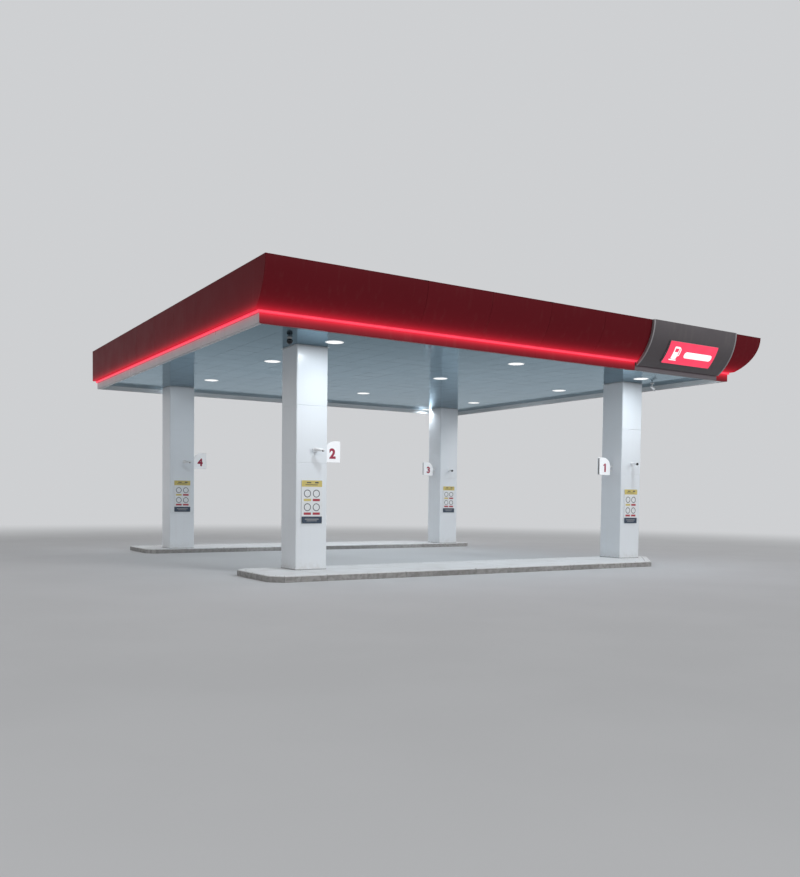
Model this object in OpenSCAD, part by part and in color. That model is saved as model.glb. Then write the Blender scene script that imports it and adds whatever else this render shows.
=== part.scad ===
// Filling station canopy: a flat roof with a curved red fascia on four clad columns and two islands.
// X runs along the front, Y runs from the front to the rear, Z is up, and the ground is at Z = 0.

/* [Roof outline] */
// Width of the roof over its fascia, along X
roof_w = 13650; // [12000:50:20000]
// Depth of the roof over its fascia, along Y
roof_d = 12530; // [11000:50:20000]
// Height of the soffit's underside above the ground
soffit_z = 4900; // [4200:50:6500]
// Height from the soffit's underside to the top of the coping
roof_h = 985; // [900:5:1400]

/* [Fascia] */
// Height of the lower band's foot under the soffit
band_drop = 120; // [60:5:200]
// Height of the lower band that shows under the fascia
band_show = 235; // [160:5:300]
// Thickness of the fascia's sheet cassette
fascia_t = 30; // [10:1:60]
// How far the front fascia curves in between its top and its foot
front_recess = 400; // [250:10:550]
// How far the right-hand fascia curves in between its top and its foot
end_recess = 500; // [300:10:550]
// Step from the fascia's foot back to the lower band
band_step = 110; // [60:5:160]
// Thickness of the lower band's sheet walls
band_t = 20; // [5:1:30]
// Width of the lower band's underside
band_w = 90; // [60:5:160]
// Width of the coping on the parapet
coping_w = 190; // [120:5:260]
// Thickness of the coping
coping_t = 20; // [8:1:40]
// Gap at the coping's mitred corners
coping_joint = 3; // [2:1:8]
// Gap between the fascia's cassettes
cassette_joint = 5; // [3:1:12]
// Thickness of the parapet's inner sheets
liner_t = 6; // [3:1:12]
// Height of the red light strip under the fascia
strip_h = 55; // [20:5:80]
// Depth of the red light strip
strip_d = 35; // [15:5:50]

/* [Columns] */
// Distance from the left edge of the roof to the middle of the left columns
left_overhang = 2270; // [1500:10:3500]
// Distance from the front edge of the roof to the middle of the front columns
front_overhang = 3073; // [2200:10:4000]
// Distance from the middle of the right columns to the right edge of the roof
right_overhang = 1700; // [1400:10:3500]
// Distance from the middle of the rear columns to the rear edge of the roof
rear_overhang = 904; // [850:2:3000]
// Width of a column's square cladding
col_w = 740; // [500:10:900]
// Thickness of the cladding's walls
col_t = 30; // [15:1:60]
// Radius of the cladding's upright corners
col_r = 25; // [15:1:60]
// Height of the cladding's lowest sheet over the island
clad_first = 1060; // [600:10:1400]
// Height of the cladding's other sheets
clad_pitch = 1220; // [900:10:1500]
// Width of the joints between the cladding's sheets
clad_joint = 8; // [4:1:15]
// Depth of the joints between the cladding's sheets
clad_groove = 6; // [3:1:10]
// Height of the shadow gap between the cladding and the soffit
neck_h = 25; // [10:1:60]
// Depth of that shadow gap
neck_in = 18; // [6:1:24]
// Width of the square steel post inside
post_w = 300; // [200:10:400]
// Wall of the square steel post
post_t = 12; // [6:1:20]
// Width of the post's base and cap plates
plate_w = 520; // [420:10:600]
// Thickness of the post's base and cap plates
plate_t = 30; // [15:1:40]

/* [Islands] */
// Height of the islands
island_h = 130; // [90:5:200]
// Distance from the middle of a column to the outer kerb
kerb_outer = 1605; // [1550:5:1900]
// Distance from the middle of a column to the inner kerb
kerb_inner = 510; // [450:5:700]
// Distance from the right columns' middle to the islands' right-hand ends
kerb_right = 950; // [600:10:1400]
// Size of the chamfer across the outer right-hand corner
nose_right = 1450; // [400:10:1450]
// Distance from the left columns' middle to the front island's left-hand end
kerb_left_front = 1430; // [900:10:2000]
// Distance from the left columns' middle to the rear island's left-hand end
kerb_left_rear = 1060; // [900:10:2000]
// Size of the smaller chamfers across the other corners
nose_left = 240; // [100:10:500]
// Bevel along the kerb's top edge
kerb_bevel = 20; // [5:1:40]

/* [Roof frame] */
// Depth of the main beams, which run along X over the posts
main_h = 360; // [300:10:420]
// Flange width of the main beams
main_w = 170; // [120:5:220]
// Depth of the cross beams, which run along Y
cross_h = 220; // [160:10:260]
// Flange width of the cross beams
cross_w = 110; // [80:5:140]
// Width of the rim beams along the cross beams' ends
rim_w = 80; // [60:5:120]
// Flange thickness of the beams
flange_t = 14; // [8:1:20]
// Web thickness of the beams
web_t = 10; // [6:1:16]
// Number of cross beams
cross_n = 6; // [4:1:8]
// Height of the deck's ribs
deck_h = 40; // [25:5:60]
// Distance between the deck's ribs
deck_pitch = 250; // [200:10:400]
// Width of a deck rib at its foot
deck_foot = 150; // [120:5:180]
// Width of a deck rib at its top
deck_crown = 90; // [60:5:110]
// Thickness of the deck
deck_t = 8; // [4:1:12]
// Distance between the ribs that hold the fascia
rib_pitch = 1500; // [900:50:2200]
// Thickness of the ribs that hold the fascia
rib_t = 16; // [8:1:30]
// Distance from the frame's corner to the first rib
rib_margin = 100; // [60:10:300]

/* [Soffit and lights] */
// Thickness of the soffit
soffit_t = 25; // [15:1:40]
// Radius of a downlight's lens
lens_r = 165; // [100:5:190]
// Width of a downlight's rim
lens_rim = 30; // [20:1:50]
// Drop of a downlight's rim under the soffit
rim_drop = 8; // [4:1:15]
// Thickness of a downlight's lens
lens_t = 14; // [6:1:25]
// How far the lens sits inside its rim
lens_sink = 3; // [1:1:6]
// Height of a downlight's housing
can_h = 110; // [60:5:140]
// Wall of a downlight's housing
can_t = 10; // [4:1:15]
// Distance from the roof's left edge to the first row of downlights
light_x_first = 2440; // [1200:10:3500]
// Distance from the roof's middle to the middle row of downlights, to the right
light_x_middle = 475; // [-900:5:900]
// Distance from the roof's right edge to the last row of downlights
light_x_last = 2120; // [1400:10:3500]
// Distance from the roof's front edge to the first row of downlights
light_y_first = 2035; // [1000:5:2300]
// Distance from the front columns' middle to the second row of downlights
light_y_second = 2097; // [900:1:3000]
// Distance from the rear columns' middle to the third row of downlights
light_y_third = 2336; // [900:1:3000]
// Distance from the roof's rear edge to the last row of downlights
light_y_last = 470; // [420:5:480]
// Width of the soffit's hanging rails
rail_w = 50; // [30:5:80]
// Height of the soffit's hanging rails
rail_h = 30; // [20:5:40]
// Distance between the soffit's hanging rails
rail_pitch = 1200; // [600:50:1600]
// Gap between a rail's end and a post or a light
rail_clear = 20; // [10:1:40]

/* [Signs and fittings] */
// Distance from the roof's right edge to the sign panel's right edge
sign_right = 1040; // [900:10:2500]
// Width of the sign panel
sign_w = 2960; // [1500:10:3000]
// Thickness of the sign panel
sign_t = 65; // [30:5:90]
// Height of the sign panel's foot over the band's foot
sign_foot = 75; // [60:5:90]
// Width of the lit sign on the panel
lit_w = 1700; // [800:10:2200]
// Height of the lit sign
lit_h = 480; // [300:10:600]
// How far the lit sign stands out
lit_t = 40; // [20:5:80]
// Height of the lit sign's foot over the fascia's foot
lit_foot = -30; // [-80:5:60]
// Width of a number sign
number_w = 385; // [300:5:600]
// Height of a number sign
number_h = 465; // [300:5:600]
// Thickness of a number sign
number_t = 110; // [60:5:160]
// Radius of a number sign's rounded corner
number_r = 240; // [80:5:250]
// Gap between a number sign and its column, bridged by its bracket
number_gap = 100; // [20:5:150]
// Height of the left front number sign's middle above the ground
number_z = 2690; // [2300:10:3200]
// How much higher the rear number signs hang
number_lift = 60; // [0:5:150]
// How much lower the right front number sign hangs
number_drop = 70; // [0:5:150]
// Radius of the two pins that hold a number sign
pin_r = 20; // [8:1:35]
// Distance between the two pins
pin_gap = 110; // [60:5:130]
// Width of a notice board
board_w = 490; // [300:10:600]
// Height of a notice board
board_h = 930; // [600:10:1100]
// Thickness of a notice board
board_t = 18; // [8:1:40]
// Height of the left front notice board's middle above the ground
board_z = 1580; // [1300:10:1900]
// How much higher the rear notice boards hang
board_lift = 95; // [0:5:150]
// How much lower the right front notice board hangs
board_drop = 40; // [0:5:150]

/* [Cameras] */
// Height of the column cameras above the ground
camera_z = 2700; // [2400:10:3200]
// Distance of the left cameras from the middle of their columns
camera_off_left = 70; // [-200:10:200]
// Distance of the right cameras from the middle of their columns
camera_off_right = 30; // [-200:10:200]
// Radius of a camera's round base
base_r = 55; // [35:1:80]
// Thickness of a camera's round base
base_t = 18; // [8:1:30]
// Length of a camera's arm
arm_l = 120; // [80:5:180]
// Radius of a camera's arm
arm_r = 16; // [8:1:25]
// Length of a camera's barrel
barrel_l = 210; // [120:5:300]
// Radius of a camera's barrel
barrel_r = 36; // [22:1:50]
// Length of the barrel behind the arm
barrel_back = 70; // [40:5:100]
// Downward tilt of a camera's barrel, in degrees
barrel_tilt = 6; // [0:1:30]
// Direction of the left cameras, in degrees from the X axis
pan_left = -25; // [-80:5:0]
// Direction of the right cameras, in degrees from the X axis
pan_right = -115; // [-150:5:-60]
// Slope of the soffit's bullet camera, in degrees down from the X axis
pan_soffit = -25; // [-60:5:0]
// Radius of a camera's lens
glass_r = 26; // [12:1:34]
// Thickness of a camera's lens
glass_t = 8; // [3:1:15]
// Distance from the front left column to the dome camera, to the left
dome_dx = 840; // [500:10:1500]
// Distance from the front left column to the dome camera, to the front
dome_dy = 1020; // [500:10:1500]
// Radius of the dome camera's ball
dome_r = 62; // [40:1:90]
// Length of the dome camera's tube between its base and its ball
dome_drop = 8; // [2:2:200]
// Distance from the front right column to the soffit's bullet camera, to the right
bullet_dx = 480; // [420:10:700]
// Distance from the front right column to the soffit's bullet camera, to the front
bullet_dy = 620; // [420:10:1500]

/* [Hidden] */
$fn = 48;
eps = 1;
red = "firebrick";
pale = "whitesmoke";
galv = "lightsteelblue";

// Main places, worked out from the sizes above
top_z = soffit_z + roof_h;
band_z = soffit_z - band_drop;
foot_z = band_z + band_show;
skin_top = top_z - coping_t;
skin_h = top_z - foot_z;

// Sides of the circles that the fascia's curves are cut from
curve_fn = 180;

// Radius of an arc that is upright at the top and comes in by recess over a height
function arc_radius(h, recess) = (h * h + recess * recess) / (2 * recess);

// Depth that holds the whole of either curve
skin_depth = 2 * max(front_recess, end_recess);

front_r = arc_radius(skin_h, front_recess);
end_r = arc_radius(skin_h, end_recess);

// Heights of the sign panel and of the lit sign on it, and how far they reach past the roof's edge
sign_z = band_z + sign_foot;
lit_z = foot_z + lit_foot;
lit_reach = sqrt(pow(front_r + sign_t + lit_t, 2) - pow(top_z - lit_z - lit_h, 2)) - front_r;
sign_reach = max(sign_t, lit_reach);

// The origin is midway between the sign's face and the rear kerb
total_d = roof_d - rear_overhang + kerb_outer;
x_left = -roof_w / 2;
x_right = roof_w / 2;
y_front = (sign_reach - total_d) / 2;
y_rear = y_front + roof_d;
col_x = [x_left + left_overhang, x_right - right_overhang];
col_y = [y_front + front_overhang, y_rear - rear_overhang];

// Rows of downlights
lights_x = [x_left + light_x_first, light_x_middle, x_right - light_x_last];
lights_y = [
    y_front + light_y_first, col_y[0] + light_y_second, col_y[1] - light_y_third, y_rear - light_y_last
];

// Outer faces of the lower band
band_x0 = x_left + band_step;
band_x1 = x_right - end_recess - band_step;
band_y0 = y_front + front_recess + band_step;
band_y1 = y_rear - band_step;
band_top = foot_z + fascia_t;

// Levels of the roof frame, from the soffit up
rail_z = soffit_z + soffit_t;
post_top = rail_z + rail_h;
main_z = post_top;
cross_z = main_z + main_h;
deck_z = cross_z + cross_h;
can_r = lens_r + can_t;

// Inner faces of the parapet
liner_x0 = x_left + coping_w;
liner_x1 = x_right - coping_w;
liner_y0 = y_front + coping_w;
liner_y1 = y_rear - coping_w;

// A box given by two opposite corners
module block(a, b) {
    translate(a) cube(b - a);
}

// Section of everything inside a curved face, drawn with depth along X and height along Y.
// The arc's centre is level with the coping's top, one radius in from the edge.
module curved_section(r, inset, z0, z1, depth) {
    intersection() {
        translate([inset, z0]) square([depth - inset, z1 - z0]);
        union() {
            translate([r, top_z]) circle(r - inset, $fn = curve_fn);
            translate([r, z0]) square([depth - r, z1 - z0]);
        }
    }
}

// A prism along X whose front is the front fascia's curve, set in by inset
module front_prism(inset, z0, z1, depth, x0, x1) {
    translate([x0, y_front, 0]) rotate([90, 0, 90])
        linear_extrude(x1 - x0) curved_section(front_r, inset, z0, z1, depth);
}

// A prism along Y whose right side is the right fascia's curve, set in by inset
module end_prism(inset, z0, z1, depth, y0, y1) {
    translate([x_right, y0, 0]) mirror([1, 0, 0]) rotate([90, 0, 0]) mirror([0, 0, 1])
        linear_extrude(y1 - y0) curved_section(end_r, inset, z0, z1, depth);
}

// A steel I-beam along Y, its underside at z = 0
module i_beam(length, h, w) {
    rotate([-90, 0, 0]) mirror([0, 1, 0]) linear_extrude(length) {
        translate([-w / 2, 0]) square([w, flange_t]);
        translate([-w / 2, h - flange_t]) square([w, flange_t]);
        translate([-web_t / 2, 0]) square([web_t, h]);
    }
}

// ISLANDS

// Plan of an island, its outer kerb towards -Y and its left end at left
function island_plan(left) = let (
    x0 = col_x[0] - left, x1 = col_x[1] + kerb_right,
    y0 = -kerb_outer, y1 = kerb_inner, c = nose_left, n = nose_right
) [
    [x0 + c, y0], [x1 - n, y0], [x1, y0 + n], [x1, y1 - c], [x1 - c, y1],
    [x0 + c, y1], [x0, y1 - c], [x0, y0 + c]
];

// A bar along one edge of the plan, turned so that its lower face cuts the bevel
module edge_cutter(a, b) {
    length = norm(b - a);
    bar = 4 * kerb_bevel;
    translate([a[0], a[1], island_h - kerb_bevel]) rotate([0, 0, atan2(b[1] - a[1], b[0] - a[0])])
        rotate([45, 0, 0]) translate([-bar, -bar, 0]) cube([length + 2 * bar, 3 * bar, bar]);
}

module island(left) {
    plan = island_plan(left);
    difference() {
        linear_extrude(island_h) polygon(plan);
        for (i = [0 : len(plan) - 1]) edge_cutter(plan[i], plan[(i + 1) % len(plan)]);
    }
}

module island_front() {
    color("gainsboro") translate([0, col_y[0], 0]) island(kerb_left_front);
}

module island_rear() {
    color("gainsboro") translate([0, col_y[1], 0]) mirror([0, 1, 0]) island(kerb_left_rear);
}

// COLUMNS

module steel_post() {
    translate([-plate_w / 2, -plate_w / 2, island_h]) cube([plate_w, plate_w, plate_t]);
    difference() {
        translate([-post_w / 2, -post_w / 2, island_h]) cube([post_w, post_w, post_top - island_h]);
        translate([-post_w / 2 + post_t, -post_w / 2 + post_t, island_h + plate_t])
            cube([post_w - 2 * post_t, post_w - 2 * post_t, post_top - island_h - 2 * plate_t]);
    }
}

module steel_posts() {
    color(galv) for (x = col_x, y = col_y) translate([x, y, 0]) steel_post();
}

// A square outline with round corners, made of true circles
module round_square(w, r) {
    square([w, w - 2 * r], center = true);
    square([w - 2 * r, w], center = true);
    for (i = [-1, 1], j = [-1, 1]) translate([i * (w / 2 - r), j * (w / 2 - r)]) circle(r);
}

// A cut all round a column, from a height upwards
module ring_cut(z, height, depth) {
    translate([0, 0, z]) linear_extrude(height) difference() {
        square(col_w + 2 * eps, center = true);
        round_square(col_w - 2 * depth, max(col_r - depth, eps));
    }
}

// Heights of the joints between the cladding's sheets
clad_joints = [for (z = [island_h + clad_first : clad_pitch : soffit_z - neck_h - clad_pitch / 4]) z];

module column_cladding(x, y) {
    color(pale) translate([x, y, 0]) difference() {
        translate([0, 0, island_h]) linear_extrude(soffit_z - island_h) difference() {
            round_square(col_w, col_r);
            square(col_w - 2 * col_t, center = true);
        }
        for (z = clad_joints) ring_cut(z - clad_joint / 2, clad_joint, clad_groove);
        ring_cut(soffit_z - neck_h, neck_h + eps, neck_in);
    }
}

module column_cladding_1() { column_cladding(col_x[1], col_y[0]); }
module column_cladding_2() { column_cladding(col_x[0], col_y[0]); }
module column_cladding_3() { column_cladding(col_x[1], col_y[1]); }
module column_cladding_4() { column_cladding(col_x[0], col_y[1]); }

// ROOF FRAME

frame_x0 = band_x0 + band_t;
frame_x1 = band_x1 - band_t;
frame_y0 = band_y0 + band_t;
frame_y1 = band_y1 - band_t;

module main_beams() {
    color(galv) for (y = col_y)
        translate([frame_x0, y, main_z]) rotate([0, 0, -90]) i_beam(frame_x1 - frame_x0, main_h, main_w);
}

// Middles of the cross beams, the outer two flush with the frame's ends
function cross_at(i) = frame_x0 + cross_w / 2 + i * (frame_x1 - frame_x0 - cross_w) / (cross_n - 1);

module cross_beams() {
    color(galv) for (i = [0 : cross_n - 1])
        translate([cross_at(i), frame_y0 + rim_w, cross_z])
            i_beam(frame_y1 - frame_y0 - 2 * rim_w, cross_h, cross_w);
}

// Channels along the ends of the cross beams
module rim_beams() {
    color(galv) for (y = [frame_y0, frame_y1 - rim_w])
        block([frame_x0, y, cross_z], [frame_x1, y + rim_w, deck_z]);
}

// Places of n ribs between two ends
function spread(a, b, pitch) = let (n = round((b - a) / pitch)) [for (i = [0 : n]) a + i * (b - a) / n];

rib_foot = foot_z + fascia_t;
ribs_x = spread(frame_x0 + rib_margin, frame_x1 - rib_margin, rib_pitch);
ribs_y = spread(frame_y0 + rib_margin, frame_y1 - rib_margin, rib_pitch);

// Every rib but the first and the last has a joint of the fascia on its middle
joints_x = [for (i = [1 : len(ribs_x) - 2]) ribs_x[i]];
joints_y = [for (i = [1 : len(ribs_y) - 2]) ribs_y[i]];

// Front ribs fill the fascia's curve, carry the deck's edge and reach up to the coping
module front_rib(x) {
    difference() {
        front_prism(fascia_t, rib_foot, skin_top, frame_y0 - y_front, x - rib_t / 2, x + rib_t / 2);
        block([x - rib_t, liner_y0 - liner_t, deck_z], [x + rib_t, frame_y0 + eps, top_z]);
    }
}

module right_rib(y) {
    difference() {
        end_prism(fascia_t, rib_foot, skin_top, x_right - frame_x1, y - rib_t / 2, y + rib_t / 2);
        block([frame_x1 - eps, y - rib_t, deck_z], [liner_x1 + liner_t, y + rib_t, top_z]);
    }
}

// Ribs of the flat sides are plates between the fascia and the frame, notched round the deck
module left_rib(y) {
    block([x_left + fascia_t, y - rib_t / 2, rib_foot], [frame_x0, y + rib_t / 2, deck_z]);
    block([x_left + fascia_t, y - rib_t / 2, deck_z], [liner_x0 - liner_t, y + rib_t / 2, skin_top]);
}

module rear_rib(x) {
    block([x - rib_t / 2, frame_y1, rib_foot], [x + rib_t / 2, y_rear - fascia_t, deck_z]);
    block([x - rib_t / 2, liner_y1 + liner_t, deck_z], [x + rib_t / 2, y_rear - fascia_t, skin_top]);
}

module fascia_ribs() {
    color(galv) {
        for (x = ribs_x) front_rib(x);
        for (x = ribs_x) rear_rib(x);
        for (y = ribs_y) left_rib(y);
        for (y = ribs_y) right_rib(y);
    }
}

// One wave of the ribbed deck, with its rib in the middle
function deck_wave(y) = let (mid = y + deck_pitch / 2) [
    [mid - deck_foot / 2, 0], [mid - deck_crown / 2, deck_h],
    [mid + deck_crown / 2, deck_h], [mid + deck_foot / 2, 0]
];

module roof_deck() {
    depth = liner_y1 - liner_y0;
    n = floor(depth / deck_pitch);
    upper = [for (i = [0 : n - 1]) for (p = deck_wave(i * deck_pitch)) p];
    lower = [for (i = [len(upper) - 1 : -1 : 0]) upper[i]];
    color("silver") translate([liner_x0, liner_y0, deck_z]) rotate([90, 0, 90])
        linear_extrude(liner_x1 - liner_x0) polygon(concat(
            [[0, deck_t]], [for (p = upper) p + [0, deck_t]], [[depth, deck_t]],
            [[depth, 0]], lower, [[0, 0]]));
}

// SOFFIT

// Rails that hang the soffit from the main beams, stopped short of the posts and the lights
module soffit_rails() {
    color(galv) difference() {
        for (x = spread(frame_x0 + rail_w / 2, frame_x1 - rail_w / 2, rail_pitch))
            block([x - rail_w / 2, frame_y0, rail_z], [x + rail_w / 2, frame_y1, rail_z + rail_h]);
        for (x = lights_x, y = lights_y) translate([x, y, rail_z - eps])
            cylinder(h = rail_h + 2 * eps, r = can_r + rail_clear);
        for (x = col_x, y = col_y) block(
            [x - post_w / 2 - rail_clear, y - post_w / 2 - rail_clear, rail_z - eps],
            [x + post_w / 2 + rail_clear, y + post_w / 2 + rail_clear, rail_z + rail_h + eps]);
    }
}

module soffit() {
    color("lightgray") difference() {
        block([frame_x0, frame_y0, soffit_z], [frame_x1, frame_y1, rail_z]);
        for (x = lights_x, y = lights_y) translate([x, y, soffit_z - eps])
            cylinder(h = soffit_t + 2 * eps, r = can_r);
        for (x = col_x, y = col_y) block(
            [x - post_w / 2, y - post_w / 2, soffit_z - eps], [x + post_w / 2, y + post_w / 2, rail_z + eps]);
    }
}

module downlight_rims() {
    color("white") for (x = lights_x, y = lights_y)
        translate([x, y, soffit_z]) rotate_extrude() {
            translate([lens_r, -rim_drop]) square([lens_rim, rim_drop]);
            translate([lens_r, 0]) square([can_t, can_h]);
            translate([0, can_h - can_t]) square([can_r, can_t]);
        }
}

module downlight_lenses() {
    color("lightyellow") for (x = lights_x, y = lights_y)
        translate([x, y, soffit_z - rim_drop + lens_sink]) cylinder(h = lens_t, r = lens_r);
}

// FASCIA

// Upright cuts through a fascia that runs along X or along Y, which part it into cassettes
module joints_along_x(y0, y1) {
    for (x = joints_x) block(
        [x - cassette_joint / 2, y0, foot_z - eps], [x + cassette_joint / 2, y1, skin_top + eps]);
}

module joints_along_y(x0, x1) {
    for (y = joints_y) block(
        [x0, y - cassette_joint / 2, foot_z - eps], [x1, y + cassette_joint / 2, skin_top + eps]);
}

// The front and the rear fascia run through, and the left and the right one fit between them.
// Each has a return at its foot, back to the lower band.
module fascia_front() {
    color(red) difference() {
        intersection() {
            union() {
                difference() {
                    front_prism(0, foot_z, skin_top, skin_depth, x_left, x_right);
                    front_prism(
                        fascia_t, foot_z - eps, skin_top + eps, skin_depth + eps,
                        x_left - eps, x_right + eps);
                }
                front_prism(0, foot_z, rib_foot, band_y0 - y_front, x_left, x_right);
            }
            end_prism(
                0, foot_z - 2 * eps, skin_top + 2 * eps, roof_w, y_front - eps, y_front + skin_depth + eps);
        }
        joints_along_x(y_front - eps, y_front + skin_depth);
    }
}

module fascia_right() {
    color(red) difference() {
        intersection() {
            union() {
                difference() {
                    end_prism(0, foot_z, skin_top, skin_depth, y_front, y_rear - fascia_t);
                    end_prism(
                        fascia_t, foot_z - eps, skin_top + eps, skin_depth + eps, y_front - eps, y_rear);
                }
                end_prism(0, foot_z, rib_foot, x_right - band_x1, band_y0, band_y1);
            }
            front_prism(fascia_t, foot_z - 2 * eps, skin_top + 2 * eps, roof_d, 0, x_right + eps);
        }
        joints_along_y(x_right - skin_depth, x_right + eps);
    }
}

module fascia_left() {
    color(red) difference() {
        intersection() {
            union() {
                block([x_left, y_front, foot_z], [x_left + fascia_t, y_rear - fascia_t, skin_top]);
                block([x_left, band_y0, foot_z], [band_x0, band_y1, rib_foot]);
            }
            front_prism(fascia_t, foot_z - eps, skin_top + eps, roof_d, x_left - eps, band_x0 + eps);
        }
        joints_along_y(x_left - eps, band_x0 + eps);
    }
}

module fascia_rear() {
    color(red) difference() {
        intersection() {
            union() {
                block([x_left, y_rear - fascia_t, foot_z], [x_right, y_rear, skin_top]);
                block([x_left, band_y1, foot_z], [x_right, y_rear, rib_foot]);
            }
            end_prism(0, foot_z - eps, skin_top + eps, roof_w, band_y1 - eps, y_rear + eps);
        }
        joints_along_x(band_y1 - eps, y_rear + eps);
    }
}

// PARAPET

module parapet_front() {
    color(galv) block([liner_x0, liner_y0 - liner_t, deck_z], [liner_x1, liner_y0, skin_top]);
}

module parapet_rear() {
    color(galv) block([liner_x0, liner_y1, deck_z], [liner_x1, liner_y1 + liner_t, skin_top]);
}

module parapet_left() {
    color(galv)
        block([liner_x0 - liner_t, liner_y0 - liner_t, deck_z], [liner_x0, liner_y1 + liner_t, skin_top]);
}

module parapet_right() {
    color(galv)
        block([liner_x1, liner_y0 - liner_t, deck_z], [liner_x1 + liner_t, liner_y1 + liner_t, skin_top]);
}

// Four mitred strips with a narrow joint at each corner
module coping() {
    color(red) translate([0, 0, skin_top]) linear_extrude(coping_t) {
        for (s = [[y_front, 1], [y_rear, -1]]) polygon([
            [x_left, s[0]], [x_right, s[0]],
            [x_right - coping_w, s[0] + s[1] * coping_w], [x_left + coping_w, s[0] + s[1] * coping_w]
        ]);
        for (s = [[x_left, 1], [x_right, -1]]) polygon([
            [s[0], y_front + coping_joint], [s[0] + s[1] * coping_w, y_front + coping_w + coping_joint],
            [s[0] + s[1] * coping_w, y_rear - coping_w - coping_joint], [s[0], y_rear - coping_joint]
        ]);
    }
}

// LOWER BAND

// Section of the band: an outer wall, an underside and an inner wall that the soffit rests on
module band_section() {
    square([band_t, band_top - band_z]);
    square([band_w, band_t]);
    translate([band_w - band_t, 0]) square([band_t, band_drop]);
}

module band_front() {
    color("silver") translate([band_x0, band_y0, band_z]) rotate([90, 0, 90])
        linear_extrude(band_x1 - band_x0) band_section();
}

module band_rear() {
    color("silver") translate([band_x0, band_y1, band_z]) mirror([0, 1, 0]) rotate([90, 0, 90])
        linear_extrude(band_x1 - band_x0) band_section();
}

module band_left() {
    color("silver") translate([band_x0, band_y1 - band_w, band_z]) rotate([90, 0, 0])
        linear_extrude(band_y1 - band_y0 - 2 * band_w) band_section();
}

module band_right() {
    color("silver") translate([band_x1, band_y1 - band_w, band_z]) mirror([1, 0, 0]) rotate([90, 0, 0])
        linear_extrude(band_y1 - band_y0 - 2 * band_w) band_section();
}

// RED LIGHT STRIPS

strip_z = foot_z - strip_h;

module light_strip_front() {
    color("red") block([band_x0 - strip_d, band_y0 - strip_d, strip_z], [band_x1 + strip_d, band_y0, foot_z]);
}

module light_strip_rear() {
    color("red") block([band_x0 - strip_d, band_y1, strip_z], [band_x1 + strip_d, band_y1 + strip_d, foot_z]);
}

module light_strip_left() {
    color("red") block([band_x0 - strip_d, band_y0, strip_z], [band_x0, band_y1, foot_z]);
}

module light_strip_right() {
    color("red") block([band_x1, band_y0, strip_z], [band_x1 + strip_d, band_y1, foot_z]);
}

// SIGN

// A slab bent to the front fascia's curve, standing out from near to far, between two heights
module bent_slab(near, far, z0, z1, x0, x1) {
    difference() {
        front_prism(-far, z0, z1, skin_depth, x0, x1);
        front_prism(-near, z0 - eps, z1 + eps, skin_depth + eps, x0 - eps, x1 + eps);
    }
}

sign_left = x_right - sign_right - sign_w;

// The panel is cut back behind the light strip's face, so that it fits in front of the band
module sign_panel() {
    color("gray") difference() {
        bent_slab(0, sign_t, sign_z, top_z, sign_left, sign_left + sign_w);
        block([sign_left - eps, band_y0 - strip_d, band_z], [sign_left + sign_w + eps, band_y1, foot_z]);
    }
}

lit_left = sign_left + (sign_w - lit_w) / 2;

module sign_lit_box() {
    color("crimson") bent_slab(sign_t, sign_t + lit_t, lit_z, lit_z + lit_h, lit_left, lit_left + lit_w);
}

// FITTINGS ON THE COLUMNS

// What a fitting's height gains at the rear and loses at the front right, where c is a column's number
function hung(c, lift, drop) = c > 1 ? lift : c == 0 ? -drop : 0;

// A number sign with a round upper corner next to the column, side = 1 on the right of it
module number_sign(c) {
    side = c % 2 == 0 ? -1 : 1;
    face = col_x[1 - c % 2] + side * col_w / 2;
    foot = number_z - number_h / 2 + hung(c, number_lift, number_drop);
    color(pale) translate([face, col_y[floor(c / 2)] + number_t / 2, foot]) mirror([side > 0 ? 0 : 1, 0, 0])
        rotate([90, 0, 0]) {
            linear_extrude(number_t) translate([number_gap, 0]) {
                square([number_w, number_h - number_r]);
                translate([number_r, 0]) square([number_w - number_r, number_h]);
                translate([number_r, number_h - number_r]) intersection() {
                    circle(number_r);
                    translate([-number_r, 0]) square(number_r);
                }
            }
            for (rise = [-pin_gap, 0]) translate([0, number_h / 2 + rise, number_t / 2]) rotate([0, 90, 0])
                cylinder(h = number_gap + eps, r = pin_r);
        }
}

module number_sign_1() { number_sign(0); }
module number_sign_2() { number_sign(1); }
module number_sign_3() { number_sign(2); }
module number_sign_4() { number_sign(3); }

module notice_boards() {
    color(pale) for (c = [0 : 3])
        translate([
            col_x[1 - c % 2] - board_w / 2, col_y[floor(c / 2)] - col_w / 2 - board_t,
            board_z - board_h / 2 + hung(c, board_lift, board_drop)
        ]) cube([board_w, board_t, board_h]);
}

// The place of a bullet camera's barrel on a wall that faces -Y: at the arm's end, panned and tilted down
module on_barrel(pan) {
    translate([0, -arm_l, 0]) rotate([0, 0, pan]) rotate([0, 90 + barrel_tilt, 0])
        translate([0, 0, -barrel_back]) children();
}

// A bullet camera: a round base, an arm and a barrel
module bullet_camera(pan) {
    rotate([90, 0, 0]) cylinder(h = base_t, r = base_r);
    rotate([90, 0, 0]) cylinder(h = arm_l, r = arm_r);
    on_barrel(pan) cylinder(h = barrel_l, r = barrel_r);
}

module camera_glass(pan) {
    on_barrel(pan) translate([0, 0, barrel_l]) cylinder(h = glass_t, r = glass_r);
}

// Distance of the dome camera's middle under the soffit
dome_mid = base_t + dome_drop + dome_r;

// The left cameras look to the right along the lane, and the right ones look out to the front
module on_columns(side) {
    x = side == 0 ? col_x[0] + camera_off_left : col_x[1] + camera_off_right;
    for (y = col_y) translate([x, y - col_w / 2, camera_z]) children();
}

module on_soffit() {
    translate([col_x[1] + bullet_dx, col_y[0] - bullet_dy, soffit_z]) rotate([90, 0, 0]) children();
}

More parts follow.
